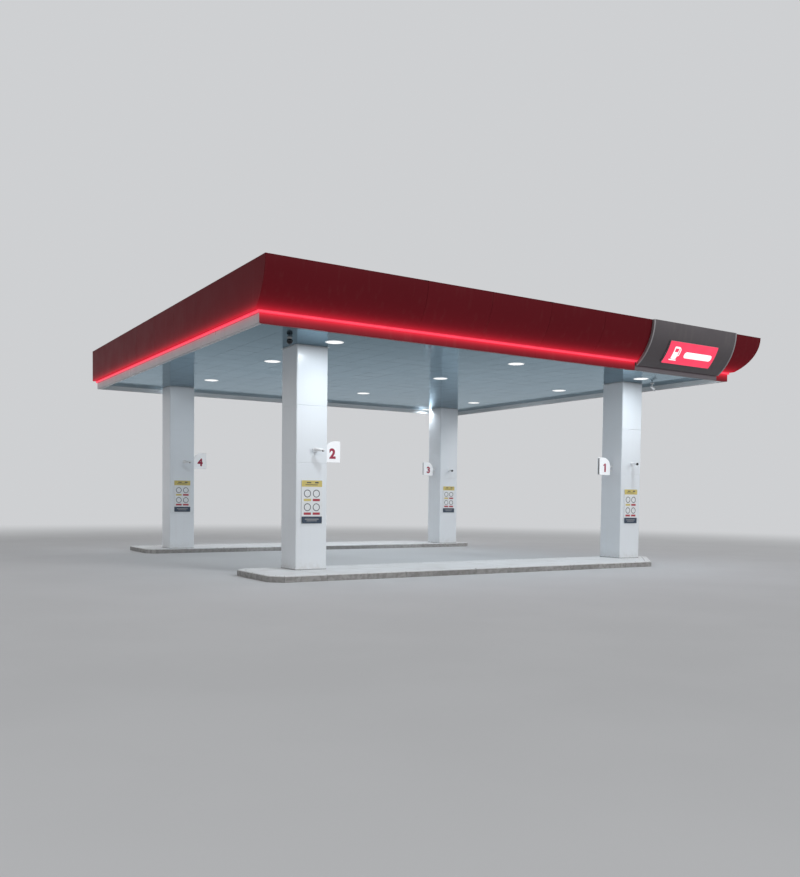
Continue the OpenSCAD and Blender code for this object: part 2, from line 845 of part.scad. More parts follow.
module column_cameras() {
    color("white") {
        on_columns(0) bullet_camera(pan_left);
        on_columns(1) bullet_camera(pan_right);
    }
}

module soffit_camera_dome() {
    color("dimgray") translate([col_x[0] - dome_dx, col_y[0] - dome_dy, soffit_z]) mirror([0, 0, 1]) {
        cylinder(h = base_t, r = base_r);
        cylinder(h = dome_mid, r = arm_r);
        translate([0, 0, dome_mid]) sphere(dome_r);
    }
}

module soffit_camera_bullet() {
    color("white") on_soffit() bullet_camera(pan_soffit);
}

module camera_lenses() {
    color("black") {
        on_columns(0) camera_glass(pan_left);
        on_columns(1) camera_glass(pan_right);
        on_soffit() camera_glass(pan_soffit);
    }
}

island_front();
island_rear();
steel_posts();
column_cladding_1();
column_cladding_2();
column_cladding_3();
column_cladding_4();
main_beams();
cross_beams();
rim_beams();
fascia_ribs();
roof_deck();
soffit_rails();
soffit();
fascia_front();
fascia_right();
fascia_left();
fascia_rear();
parapet_front();
parapet_right();
parapet_left();
parapet_rear();
coping();
band_front();
band_right();
band_left();
band_rear();
light_strip_front();
light_strip_right();
light_strip_left();
light_strip_rear();
downlight_rims();
downlight_lenses();
sign_panel();
sign_lit_box();
number_sign_1();
number_sign_2();
number_sign_3();
number_sign_4();
notice_boards();
column_cameras();
soffit_camera_dome();
soffit_camera_bullet();
camera_lenses();
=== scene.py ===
"""Dresses the filling station canopy: its finishes, its fine pieces, the lamps and the camera."""

import math

import bmesh
import bpy
import numpy as np
from bpy.props import FloatProperty, FloatVectorProperty, IntProperty, PointerProperty
from mathutils import Matrix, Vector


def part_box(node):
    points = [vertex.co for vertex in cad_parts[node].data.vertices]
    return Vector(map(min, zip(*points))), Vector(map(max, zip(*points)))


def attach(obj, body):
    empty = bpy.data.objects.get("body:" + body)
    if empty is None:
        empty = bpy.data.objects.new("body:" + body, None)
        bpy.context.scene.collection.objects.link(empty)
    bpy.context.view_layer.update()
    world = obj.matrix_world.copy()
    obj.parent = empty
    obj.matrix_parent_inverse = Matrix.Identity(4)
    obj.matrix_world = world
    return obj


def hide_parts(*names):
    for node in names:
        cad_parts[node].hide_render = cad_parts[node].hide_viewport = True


bl_info = {
    "name": "Filling Station Canopy",
    "version": (1, 0, 0),
    "blender": (4, 5, 0),
    "location": "3D View > Sidebar > Canopy",
    "description": "Finishes, fine pieces, lamps and camera of a filling station canopy",
    "category": "Object",
}

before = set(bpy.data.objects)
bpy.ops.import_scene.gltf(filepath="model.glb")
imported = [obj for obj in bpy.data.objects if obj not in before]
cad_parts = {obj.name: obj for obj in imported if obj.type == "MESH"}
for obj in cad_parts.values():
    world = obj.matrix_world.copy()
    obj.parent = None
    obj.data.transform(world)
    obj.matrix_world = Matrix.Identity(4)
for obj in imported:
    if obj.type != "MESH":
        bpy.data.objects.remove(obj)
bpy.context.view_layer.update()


def span(node):
    """Lowest and highest corner of a CAD node, as two arrays."""
    low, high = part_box(node)
    return np.array(low), np.array(high)


# Places taken from the frame
ROOF = span("coping")
SKIN_TOP, TOP_Z = ROOF[0][2], ROOF[1][2]
SOFFIT = span("soffit")
SOFFIT_Z = SOFFIT[0][2]
BAND = (span("band_front")[0], span("band_rear")[1])
FOOT_Z = span("fascia_front")[0][2]
STRIP = span("light_strip_front")
SIGN = span("sign_panel")
BAND_STEP = BAND[0][0] - ROOF[0][0]
RECESSES = (BAND[0][1] - ROOF[0][1] - BAND_STEP, ROOF[1][0] - BAND[1][0] - BAND_STEP, 0.0, 0.0)
COLUMNS = [span(f"column_cladding_{k}") for k in (1, 2, 3, 4)]
MIDDLES = [(low + high) / 2 for low, high in COLUMNS]
SIDES = ("front", "right", "rear", "left")

# Flat underside of the band, beside which the ceiling's panels begin
BAND_WIDTH = 0.090

# Axes of a shape drawn with x to the right, y up and z out of a wall, by the way the wall faces
FACING_FRONT = np.array([[1, 0, 0], [0, 0, 1], [0, -1, 0]], float)
FACING_REAR = np.array([[-1, 0, 0], [0, 0, 1], [0, 1, 0]], float)


# SETTINGS

def colour(name, text, value):
    """A colour setting, given in linear values."""
    return FloatVectorProperty(
        name=name, description=text, default=value, subtype="COLOR", min=0, max=1)


def length(name, text, value):
    """A length setting in metres."""
    return FloatProperty(
        name=name, description=text, default=value, subtype="DISTANCE", unit="LENGTH")


def angle(name, text, degrees):
    """An angle setting, given in degrees."""
    return FloatProperty(
        name=name, description=text, default=math.radians(degrees), subtype="ANGLE")


def plain(name, text, value, unit="NONE"):
    """A plain setting, or one in the unit that is named."""
    return FloatProperty(name=name, description=text, default=value, unit=unit)


class CanopyColours(bpy.types.PropertyGroup):
    """Colours of the canopy's finishes."""
    # Fascia red: a deep red paint, made darker still as painted shade
    fascia: colour("Fascia", "Red paint of the fascia and the coping", (0.122, 0.0115, 0.0165))
    glow: colour("Glow", "Light of the red strips", (1.0, 0.058, 0.112))
    wash: colour("Wash", "Red light that falls on the sheet beside the strips", (0.78, 0.018, 0.04))
    band: colour("Band", "Silver paint of the lower band", (0.37, 0.375, 0.39))
    cladding: colour("Cladding", "White sheet round the columns", (0.74, 0.775, 0.81))
    # Soffit: darker than the panels' own colour, painted shade of the canopy's underside
    soffit: colour("Soffit", "Glossy panels of the ceiling", (0.150, 0.200, 0.232))
    zinc: colour("Zinc", "Galvanised steel", (0.46, 0.48, 0.50))
    deck: colour("Deck", "Pale coated sheet of the roof", (0.50, 0.52, 0.53))
    # Sign: a darker grey than the silver of its returns, painted shade on the panel's face
    sign: colour("Sign", "Silver-grey sign panel", (0.118, 0.105, 0.112))
    numeral: colour("Numeral", "Crimson numerals", (0.34, 0.010, 0.050))
    kerb: colour("Kerb", "Bare concrete of the kerb's face", (0.34, 0.335, 0.33))
    island: colour("Island", "Pale paint on the islands' tops", (0.84, 0.86, 0.88))
    dust: colour("Dust", "Dry dust that settles on the roof", (0.36, 0.32, 0.27))
    yellow: colour("Yellow", "Header of the notice boards", (0.60, 0.49, 0.15))
    blue: colour("Blue", "Footer of the notice boards", (0.024, 0.045, 0.080))
    dark: colour("Dark", "Dark plastic, rubber and ink", (0.014, 0.015, 0.018))
    lamp: colour("Lamp", "Cool light of the downlights", (0.86, 0.94, 1.0))
    pale: colour("Pale", "Floor and backdrop", (0.62, 0.63, 0.645))


class CanopySizes(bpy.types.PropertyGroup):
    """Sizes of the pieces that only the looks need."""
    sheet: length("Sheet", "Depth of a fascia cassette's folded edge", 0.030)
    cassette_gap: length("Cassette gap", "Joint between the fascia's cassettes", 0.005)
    rib_margin: length("Rib margin", "From the frame's corner to the first rib", 0.100)
    rib_pitch: length("Rib pitch", "Distance between the ribs, which carry the cassettes", 1.500)
    tile: length("Tile", "Width of the ceiling's square panels", 0.600)
    tile_gap: length("Tile gap", "Joint between the ceiling's panels", 0.004)
    tile_x: length("Tile X", "Place of one joint across the front", -1.000)
    tile_y: length("Tile Y", "Place of one joint from front to rear", -2.400)
    lens: length("Lens", "Radius of a downlight's lens", 0.165)
    rim: length("Rim", "Width of a downlight's rim", 0.030)
    light_middle: length("Middle lights", "Middle row, right of the roof's middle", 0.475)
    light_second: length("Second lights", "From the front columns to the second row", 2.097)
    light_third: length("Third lights", "From the rear columns to the third row", 2.336)
    kerb_width: length("Kerb width", "Width of the kerb stones", 0.150)
    kerb_stone: length("Kerb stone", "Length of the kerb stones", 0.915)
    kerb_gap: length("Kerb gap", "Joint between the kerb stones", 0.006)
    strip_pitch: length("Strip pitch", "Length of one piece of the light strip", 1.200)
    coping_sheet: length("Coping sheet", "Length of one sheet of the coping", 3.000)
    screw_pitch: length("Screw pitch", "Distance between the deck's rows of screws", 1.450)
    numeral: length("Numeral", "Height of the numerals", 0.215)


class CanopyStage(bpy.types.PropertyGroup):
    """The camera and the lamps."""
    place: FloatVectorProperty(
        name="Place", description="Where the camera stands", default=(-12.973, -20.751, 1.658),
        subtype="XYZ", unit="LENGTH")
    heading: angle("Heading", "Turn of the view from the Y axis to the right", 32.31)
    tilt: angle("Tilt", "Rise of the view over the horizon", -2.23)
    roll: angle("Roll", "Turn of the picture about the view", 0.67)
    lens: plain("Lens", "Focal length in millimetres, on a long side of 36", 35.94, "CAMERA")
    rise: plain("Rise", "Vertical shift of the picture", 0.1083)
    sky: plain("Sky", "Strength of the soft light all round", 0.54)
    key: plain("Key", "Strength of the soft key lamp", 0.85)
    under: plain("Under", "Power of the lamp under a downlight, in watts", 20.5, "POWER")
    under_strong: plain("Under strong", "Its power in the middle and front row", 40.0, "POWER")
    floor: length("Floor", "Radius of the floor", 90.0)
    seed: IntProperty(
        name="Seed", description="Seed of the small differences between like panels", default=11)


# SKINS

class Skin:
    """Points, four-sided faces and a tone for each point: what the mesh of a piece is made from."""

    def __init__(self, points, quads, tone=0.0):
        self.points = np.asarray(points, float).reshape(-1, 3)
        self.quads = np.asarray(quads, int).reshape(-1, 4)
        self.tone = np.broadcast_to(np.asarray(tone, float), len(self.points))

    def toned(self, tone):
        """The same skin with one tone."""
        return Skin(self.points, self.quads, tone)

    def flipped(self):
        """The same skin with its faces turned round, for a profile that runs the other way."""
        return Skin(self.points, self.quads[:, ::-1], self.tone)

    def placed(self, axes=None, at=(0, 0, 0)):
        """Each point times the three axes that x, y and z turn to, and then moved."""
        points = self.points if axes is None else self.points @ axes
        return Skin(points + np.asarray(at, float), self.quads, self.tone)

    def repeated(self, places):
        """One copy at each place."""
        places = np.asarray(places, float).reshape(-1, 3)
        points = self.points[None] + places[:, None]
        starts = np.arange(len(places)) * len(self.points)
        quads = self.quads[None] + starts[:, None, None]
        return Skin(points, quads, np.tile(self.tone, len(places)))


def joined(skins):
    """All skins as one."""
    starts = np.cumsum([0] + [len(s.points) for s in skins[:-1]])
    return Skin(
        np.vstack([s.points for s in skins]),
        np.vstack([s.quads + start for s, start in zip(skins, starts)]),
        np.concatenate([s.tone for s in skins]))


def skin(rings, ringed=False):
    """A closed skin over rings of points, an array (rings, points, 3): faces join ring to ring.

    The face's normal is the way round the ring times the way from ring to ring. A lid joins point i
    of an end ring to its last point but i. With ringed, the last ring is joined to the first
    instead.
    """
    rings = np.asarray(rings, float)
    count, size = rings.shape[:2]
    index = np.arange(count * size).reshape(count, size)
    index = np.hstack([index, index[:, :1]])
    if ringed:
        index = np.vstack([index, index[:1]])
    quads = [np.stack([index[:-1, :-1], index[:-1, 1:], index[1:, 1:], index[1:, :-1]], -1)
             .reshape(-1, 4)]
    if not ringed:
        i = np.arange(size // 2 - 1)
        across = np.stack([i, size - 1 - i, size - 2 - i, i + 1], -1)
        quads += [across, across[:, ::-1] + (count - 1) * size]
    return Skin(rings, np.vstack(quads))


def lifted(flat, z):
    """Flat points (x, y) lifted to a height, or to one height each."""
    return np.column_stack([flat, np.broadcast_to(z, len(flat))])


def stack(outline, insets, heights, ringed=False):
    """A skin whose rings are outline(inset), lifted to the height that goes with each inset."""
    return skin([lifted(outline(inset), z) for inset, z in zip(insets, heights)], ringed)


def rectangle(width, height, radius, steps=4):
    """Outline of a rectangle whose corners are quarter circles. An inset shrinks it, radius and
    all."""
    turn = np.radians(np.concatenate([np.linspace(0, 90, steps + 1) + 90 * k for k in range(4)]))
    signs = np.repeat([[1, 1], [-1, 1], [-1, -1], [1, -1]], steps + 1, axis=0)

    def outline(inset):
        left = max(radius - inset, 1e-4)
        middle = np.array([width / 2 - inset - left, height / 2 - inset - left])
        return signs * middle + left * np.column_stack([np.cos(turn), np.sin(turn)])

    return outline


def turned(radii, heights, count=32, ringed=False):
    """A turned shape: circles of the given radii at the given heights about the Z axis."""
    turn = np.arange(count) * 2 * np.pi / count
    rings = np.stack([np.outer(radii, np.cos(turn)), np.outer(radii, np.sin(turn)),
                      np.repeat(np.asarray(heights, float)[:, None], count, 1)], -1)
    return skin(rings, ringed)


def box(low, high):
    """A plain box between two corners, whose edges a bevel rounds."""
    low, high = np.asarray(low, float), np.asarray(high, float)
    size = high - low
    return stack(rectangle(size[0], size[1], 0, 0), (0, 0), (low[2], high[2])).placed(
        at=((low[0] + high[0]) / 2, (low[1] + high[1]) / 2, 0))


def along(direction):
    """Axes whose z is the direction, for a turned shape that lies that way."""
    z = np.asarray(direction, float) / np.linalg.norm(direction)
    side = np.cross(z, (0, 0, 1)) if abs(z[2]) < 0.99 else np.array([1.0, 0, 0])
    side /= np.linalg.norm(side)
    return np.array([side, np.cross(z, side), z])


def headings(line):
    """Unit direction of a line at each of its points."""
    ahead = np.gradient(line, axis=0)
    return ahead / np.linalg.norm(ahead, axis=1)[:, None]


def tube(path, radius, count=12):
    """A round tube: a circle about each point of a flat path, square to the path there.

    The plane's normal is the path's direction of least spread. The circle's axes are side = path x
    normal and rise = path x side.
    """
    path = np.asarray(path, float)
    ahead = headings(path)
    normal = np.linalg.svd(path - path.mean(0))[2][2]
    side = np.cross(ahead, normal)
    side /= np.linalg.norm(side, axis=1)[:, None]
    rise = np.cross(ahead, side)
    turn = np.arange(count)[:, None] * 2 * np.pi / count
    circles = radius * (np.cos(turn) * side[:, None] + np.sin(turn) * rise[:, None])
    return skin(path[:, None] + circles)


def thick(line, depth):
    """Section of a folded sheet: the line, and the same line set in by the depth, backwards.

    The line holds (inwards, up) and runs down the outer face, so that in is a quarter turn to its
    left.
    """
    ahead = headings(line)
    return np.vstack([line, (line + depth * np.column_stack([-ahead[:, 1], ahead[:, 0]]))[::-1]])


def folded(points, radius, steps=3):
    """A line through the points whose corners are bends: a quadratic curve from radius before each
    corner to radius after it."""
    points = np.asarray(points, float)
    line = [points[:1]]
    t = np.linspace(0, 1, steps + 1)[:, None]
    for before, bend, after in zip(points, points[1:], points[2:]):
        start, end = (
            bend + (p - bend) * radius / np.linalg.norm(p - bend) for p in (before, after))
        line.append((1 - t) ** 2 * start + 2 * t * (1 - t) * bend + t ** 2 * end)
    return np.vstack(line + [points[-1:]])


def corner(k, depths):
    """Corner k of the roof, brought in by the depths of the front, right, rear and left side."""
    front, right, rear, left = depths
    x = ROOF[0][0] + left if k in (0, 3) else ROOF[1][0] - right
    y = ROOF[0][1] + front if k in (0, 1) else ROOF[1][1] - rear
    return x, y


def side_loops(k, sections, cuts):
    """The section of side k at its mitred corners and at each cut between them, anticlockwise."""
    depths = [s[:, 0] for s in sections]
    first, last = (
        np.column_stack([*corner(c, depths), sections[k][:, 1]]) for c in (k, (k + 1) % 4))
    loops = [first]
    for cut in sorted(cuts, reverse=k > 1):
        loops.append(first.copy())
        loops[-1][:, k % 2] = cut
    return loops + [last]


def beside_band(line, inset=0.0):
    """A section's line for each of the four sides, set in from the band's face."""
    return [line + (recess + BAND_STEP + inset, 0) for recess in RECESSES]


def panels(loops, gap, draw=None):
    """One closed panel from each loop to the next, half a gap short of both, with its own tone."""
    made = []
    for start, end in zip(loops, loops[1:]):
        step = end.mean(0) - start.mean(0)
        step *= gap / 2 / np.linalg.norm(step)
        made.append(skin([start + step, end - step]).toned(draw.uniform() if draw else 0.5))
    return made


def spread(low, high, pitch):
    """Even places from low to high, about a pitch apart."""
    return np.linspace(low, high, int(round((high - low) / pitch)) + 1)


def side_cuts(pitch, margin=0.0):
    """Joints of the four sides: even places along the soffit, without its ends."""
    across, deep = (
        spread(SOFFIT[0][a] + margin, SOFFIT[1][a] - margin, pitch)[1:-1] for a in (0, 1))
    return across, deep, across, deep


# SHADERS

class Tree:
    """Adds nodes to a shader tree, with their settings and links in one call."""

    def __init__(self, tree):
        self.tree = tree

    def add(self, kind, sockets=None, **settings):
        """A node of that kind. Sockets maps an input to a value or to another node's output."""
        node = self.tree.nodes.new(kind if kind.startswith("NodeGroup") else "ShaderNode" + kind)
        for key, value in settings.items():
            setattr(node, key, value)
        self.fill(node, sockets or {})
        return node

    def fill(self, node, sockets):
        """Sets or links a node's inputs. A colour may be given without its alpha."""
        for key, value in sockets.items():
            if isinstance(value, bpy.types.NodeSocket):
                self.tree.links.new(value, node.inputs[key])
            elif node.inputs[key].type == "RGBA" and len(value) == 3:
                node.inputs[key].default_value = (*value, 1)
            else:
                node.inputs[key].default_value = value

    def math(self, operation, *values, clamp=False):
        """A Math node's output."""
        node = self.add("Math", dict(enumerate(values)), operation=operation, use_clamp=clamp)
        return node.outputs[0]

    def times(self, first, second):
        """One value times another."""
        return self.math("MULTIPLY", first, second)

    def fade(self, value, low, high, start=0.0, end=1.0):
        """Value from low to high becomes start to end, smoothly."""
        limits = {"From Min": low, "From Max": high, "To Min": start, "To Max": end}
        node = self.add("MapRange", {"Value": value, **limits}, interpolation_type="SMOOTHSTEP")
        return node.outputs["Result"]

    def mix(self, mask, first, second, blend="MIX"):
        """First where the mask is 0, and second where it is 1."""
        sockets = {0: mask, 6: first, 7: second}
        return self.add("Mix", sockets, data_type="RGBA", blend_type=blend).outputs[2]

    def place(self):
        """Object coordinates."""
        return self.add("TexCoord").outputs["Object"]

    def axis(self, vector, letter):
        """One coordinate of a vector."""
        return self.add("SeparateXYZ", {"Vector": vector}).outputs[letter]

    def facing(self):
        """How far the surface faces up."""
        return self.axis(self.add("NewGeometry").outputs["True Normal"], "Z")

    def noise(self, scale, detail=3.0, stretch=None):
        """Noise on Object coordinates, stretched along the axes where stretch says so."""
        place = self.place()
        if stretch:
            place = self.add("Mapping", {"Vector": place, "Scale": stretch}).outputs[0]
        sockets = {"Vector": place, "Scale": scale, "Detail": detail}
        return self.add("TexNoise", sockets).outputs["Fac"]

    def cells(self, scale, **settings):
        """Distance from the middles of Voronoi cells on Object coordinates."""
        sockets = {"Vector": self.place(), "Scale": scale}
        return self.add("TexVoronoi", sockets, **settings).outputs["Distance"]

    def line(self, pitch, share):
        """A mask of thin lines across X, a pitch apart, each as wide as that share of the pitch."""
        place = self.times(self.axis(self.place(), "X"), 1 / pitch)
        return self.math("LESS_THAN", self.math("FRACT", place), share)


def blank(block):
    """The emptied shader tree of a material or a world."""
    block.use_nodes = True
    block.node_tree.nodes.clear()
    return Tree(block.node_tree)


def group(name, inputs, outputs):
    """A new shader group with its input and output nodes. Inputs map a name to its default."""
    made = bpy.data.node_groups.new(name, "ShaderNodeTree")
    for label, default in inputs.items():
        kind = "NodeSocketFloat" if isinstance(default, float) else "NodeSocketColor"
        made.interface.new_socket(label, in_out="INPUT", socket_type=kind).default_value = default
    for label, kind in outputs.items():
        made.interface.new_socket(label, in_out="OUTPUT", socket_type="NodeSocket" + kind)
    tree = Tree(made)
    return tree, tree.add("NodeGroupInput").outputs, tree.add("NodeGroupOutput")


def make_groups():
    """The effects that several finishes share."""
    white = (1, 1, 1, 1)

    # Panels of one field differ a little in tone, and each fades unevenly
    t, given, out = group("Panel Tone", {"Color": white, "Amount": 0.1}, {"Color": "Color"})
    own = t.add("Attribute", attribute_name="tone").outputs["Fac"]
    sway = t.math("ADD", t.math("SUBTRACT", own, 0.5), t.math("SUBTRACT", t.noise(0.45, 2.0), 0.5))
    level = t.math("ADD", 1.0, t.times(sway, given["Amount"]))
    grey = t.add("CombineColor", {"Red": level, "Green": level, "Blue": level}).outputs[0]
    t.fill(out, {"Color": t.mix(1.0, given["Color"], grey, "MULTIPLY")})

    # Dust lies on what faces up, runs down in faint streaks and gathers in splashes over the ground
    t, given, out = group(
        "Dust", {"Color": white, "Dust": white, "Amount": 0.2, "Streaks": 0.1,
                 "Splash Height": 0.0}, {"Color": "Color", "Mask": "Float"})
    lying = t.times(t.fade(t.facing(), 0.5, 0.95), t.fade(t.noise(1.7, 5.0), 0.3, 0.7, 0.35, 1.0))
    run = t.times(t.fade(t.noise(1.0, 4.0, (9, 9, 0.35)), 0.52, 0.75), given["Streaks"])
    height, top = t.axis(t.place(), "Z"), given["Splash Height"]
    share = t.math("DIVIDE", height, t.math("MAXIMUM", top, 0.01))
    splash = t.times(t.math("LESS_THAN", height, top),
                     t.math("POWER", t.math("SUBTRACT", 1.0, share, clamp=True), 2.2))
    splash = t.times(splash, t.fade(t.noise(14.0, 6.0), 0.35, 0.7, 0.25, 0.8))
    marks = t.math("MAXIMUM", run, splash)
    mask = t.math("ADD", t.times(lying, given["Amount"]), marks, clamp=True)
    t.fill(out, {"Color": t.mix(mask, given["Color"], given["Dust"]), "Mask": mask})

    # Edges wear: the mask is where the rounded normal leaves the true one, broken up by noise
    t, given, out = group("Edge Wear", {"Radius": 0.01, "Amount": 0.5}, {"Mask": "Float"})
    soft = t.add("Bevel", {"Radius": given["Radius"]}, samples=4).outputs[0]
    true = t.add("NewGeometry").outputs["Normal"]
    bend = t.add("VectorMath", {0: soft, 1: true}, operation="DOT_PRODUCT").outputs["Value"]
    edge = t.times(t.fade(bend, 0.995, 0.9), t.fade(t.noise(60.0, 5.0), 0.45, 0.62))
    t.fill(out, {"Mask": t.times(edge, given["Amount"])})

    # Surface relief: wide waves of a thin sheet under a fine grain
    t, given, out = group(
        "Relief", {"Wave Scale": 1.2, "Wave Height": 0.0, "Grain Scale": 300.0,
                   "Grain Height": 0.0001}, {"Height": "Float"})
    wave, grain = (t.times(t.noise(given[f"{kind} Scale"], detail), given[f"{kind} Height"])
                   for kind, detail in (("Wave", 1.0), ("Grain", 2.0)))
    t.fill(out, {"Height": t.math("ADD", wave, grain)})

    # Red light beside a strip: it falls off with the distance in height from the strip's line, and
    # a faint part of it reaches four times as far
    t, given, out = group(
        "Strip Glow", {"Line Height": 5.0, "Reach": 0.1, "Amount": 1.0, "Far Amount": 0.0},
        {"Mask": "Float"})
    away = t.math("ABSOLUTE", t.math("SUBTRACT", t.axis(t.place(), "Z"), given["Line Height"]))
    away = t.math("DIVIDE", away, given["Reach"])
    near, far = (t.times(t.math("EXPONENT", t.times(away, fall)), given[amount])
                 for fall, amount in ((-1.0, "Amount"), (-0.25, "Far Amount")))
    t.fill(out, {"Mask": t.math("ADD", near, far, clamp=True)})


def spaced(values):
    """The same values under socket names, which have spaces where keywords have underscores."""
    return {key.replace("_", " "): value for key, value in values.items()}


def use(t, name, **sockets):
    """Places a shared group in a material, with its own values."""
    return t.add("Group", spaced(sockets), node_tree=bpy.data.node_groups[name]).outputs


def finish(name, base, rough=0.4, rough_spread=0.08, tone=0.06, dust=0.15, streaks=0.05, splash=0.0,
           wear=0.0, worn=(0.5, 0.5, 0.5), wave=0.0, wave_scale=1.2, grain=0.00008,
           grain_scale=350.0, glow=None, change=None, **sockets):
    """A painted, moulded or cast finish: tone, dust, wear, relief and uneven gloss over a colour.

    Its first numbers are the roughness and its spread, then how much tone, dust and streaks. Glow
    is (line height, reach, amount, far amount) of a light strip next to the surface. Change is a
    function of the tree and the colour that returns another colour. Other values go to the shader's
    own sockets.
    """
    colours = bpy.context.scene.canopy_colours
    material = bpy.data.materials.new(name)
    t = blank(material)
    tint = use(t, "Panel Tone", Color=base, Amount=tone)["Color"]
    if change:
        tint = change(t, tint)
    if wear:
        tint = t.mix(use(t, "Edge Wear", Radius=0.006, Amount=wear)["Mask"], tint, worn)
    dusty = use(t, "Dust", Color=tint, Dust=colours.dust, Amount=dust, Streaks=streaks,
                Splash_Height=splash)
    relief = use(t, "Relief", Wave_Scale=wave_scale, Wave_Height=wave, Grain_Scale=grain_scale,
                 Grain_Height=grain)
    bump = t.add("Bump", {"Height": relief["Height"], "Distance": 1.0, "Strength": 1.0})
    uneven = t.fade(t.noise(2.6, 4.0), 0.3, 0.7, rough - rough_spread, rough + rough_spread)
    gloss = t.math("ADD", uneven, t.times(dusty["Mask"], 0.35), clamp=True)
    sockets = spaced(sockets)
    if glow:
        line, reach, amount, far = glow
        lit = use(t, "Strip Glow", Line_Height=line, Reach=reach, Amount=amount, Far_Amount=far)
        sockets["Emission Color"] = t.mix(lit["Mask"], (0, 0, 0), colours.wash)
        sockets["Emission Strength"] = 1.0
    shader = t.add("BsdfPrincipled", {
        "Base Color": dusty["Color"], "Roughness": gloss, "Normal": bump.outputs[0], **sockets})
    t.add("OutputMaterial", {"Surface": shader.outputs[0]})
    return material


def lit_finish(name, light, pattern, base):
    """A glowing diffuser. Pattern is a function of the tree that returns where the light dims."""
    material = bpy.data.materials.new(name)
    t = blank(material)
    shader = t.add("BsdfPrincipled", {
        "Base Color": t.mix(t.noise(40.0), base, [0.6 * v for v in base]), "Roughness": 0.35,
        "Emission Color": t.mix(pattern(t), light, [0.72 * v for v in light]),
        "Emission Strength": 1.0})
    t.add("OutputMaterial", {"Surface": shader.outputs[0]})
    return material


def kerb_paint(t, tint):
    """Bare concrete, mottled and pitted, and pale on what faces up, in patches that noise breaks
    up.
    """
    tint = t.mix(t.fade(t.noise(11.0, 9.0), 0.40, 0.66, 0.0, 0.55), tint, (0.17, 0.163, 0.155))
    tint = t.mix(t.fade(t.noise(150.0, 3.0), 0.60, 0.68, 0.0, 0.55), tint, (0.08, 0.077, 0.073))
    kept = t.fade(t.noise(9.0, 6.0), 0.30, 0.36)
    island = bpy.context.scene.canopy_colours.island
    return t.mix(t.times(t.fade(t.facing(), 0.55, 0.8), kept), tint, island)


def bays(t, tint):
    """Faint stains, and a dark tooled joint across the island at even places."""
    tint = t.mix(t.fade(t.noise(3.1, 5.0), 0.52, 0.72, 0.0, 0.18), tint, (0.42, 0.41, 0.39))
    return t.mix(t.times(t.line(2.44, 0.004), 0.7), tint, (0.12, 0.12, 0.12))


def spangle(t, tint):
    """Crystals of the zinc, a Voronoi pattern."""
    return t.mix(t.fade(t.cells(90.0), 0.0, 0.7, 0.0, 0.35), tint, (0.30, 0.32, 0.34))


def laps(t, tint):
    """Rain marks along the deck's ribs, and dark laps between its sheets."""
    marks = t.fade(t.noise(1.0, 5.0, (0.5, 6.0, 1.0)), 0.5, 0.75, 0.0, 0.4)
    tint = t.mix(marks, tint, (0.33, 0.31, 0.28))
    return t.mix(t.times(t.line(3.32, 0.005), 0.6), tint, (0.16, 0.16, 0.17))


def prisms(t):
    """Square cells of a prismatic lens."""
    return t.fade(t.cells(60.0, distance="CHEBYCHEV"), 0.2, 0.6, 0.0, 0.5)


def cloud(t):
    """Slow unevenness of a diffuser."""
    return t.fade(t.noise(5.0, 2.0), 0.35, 0.7, 0.0, 0.5)


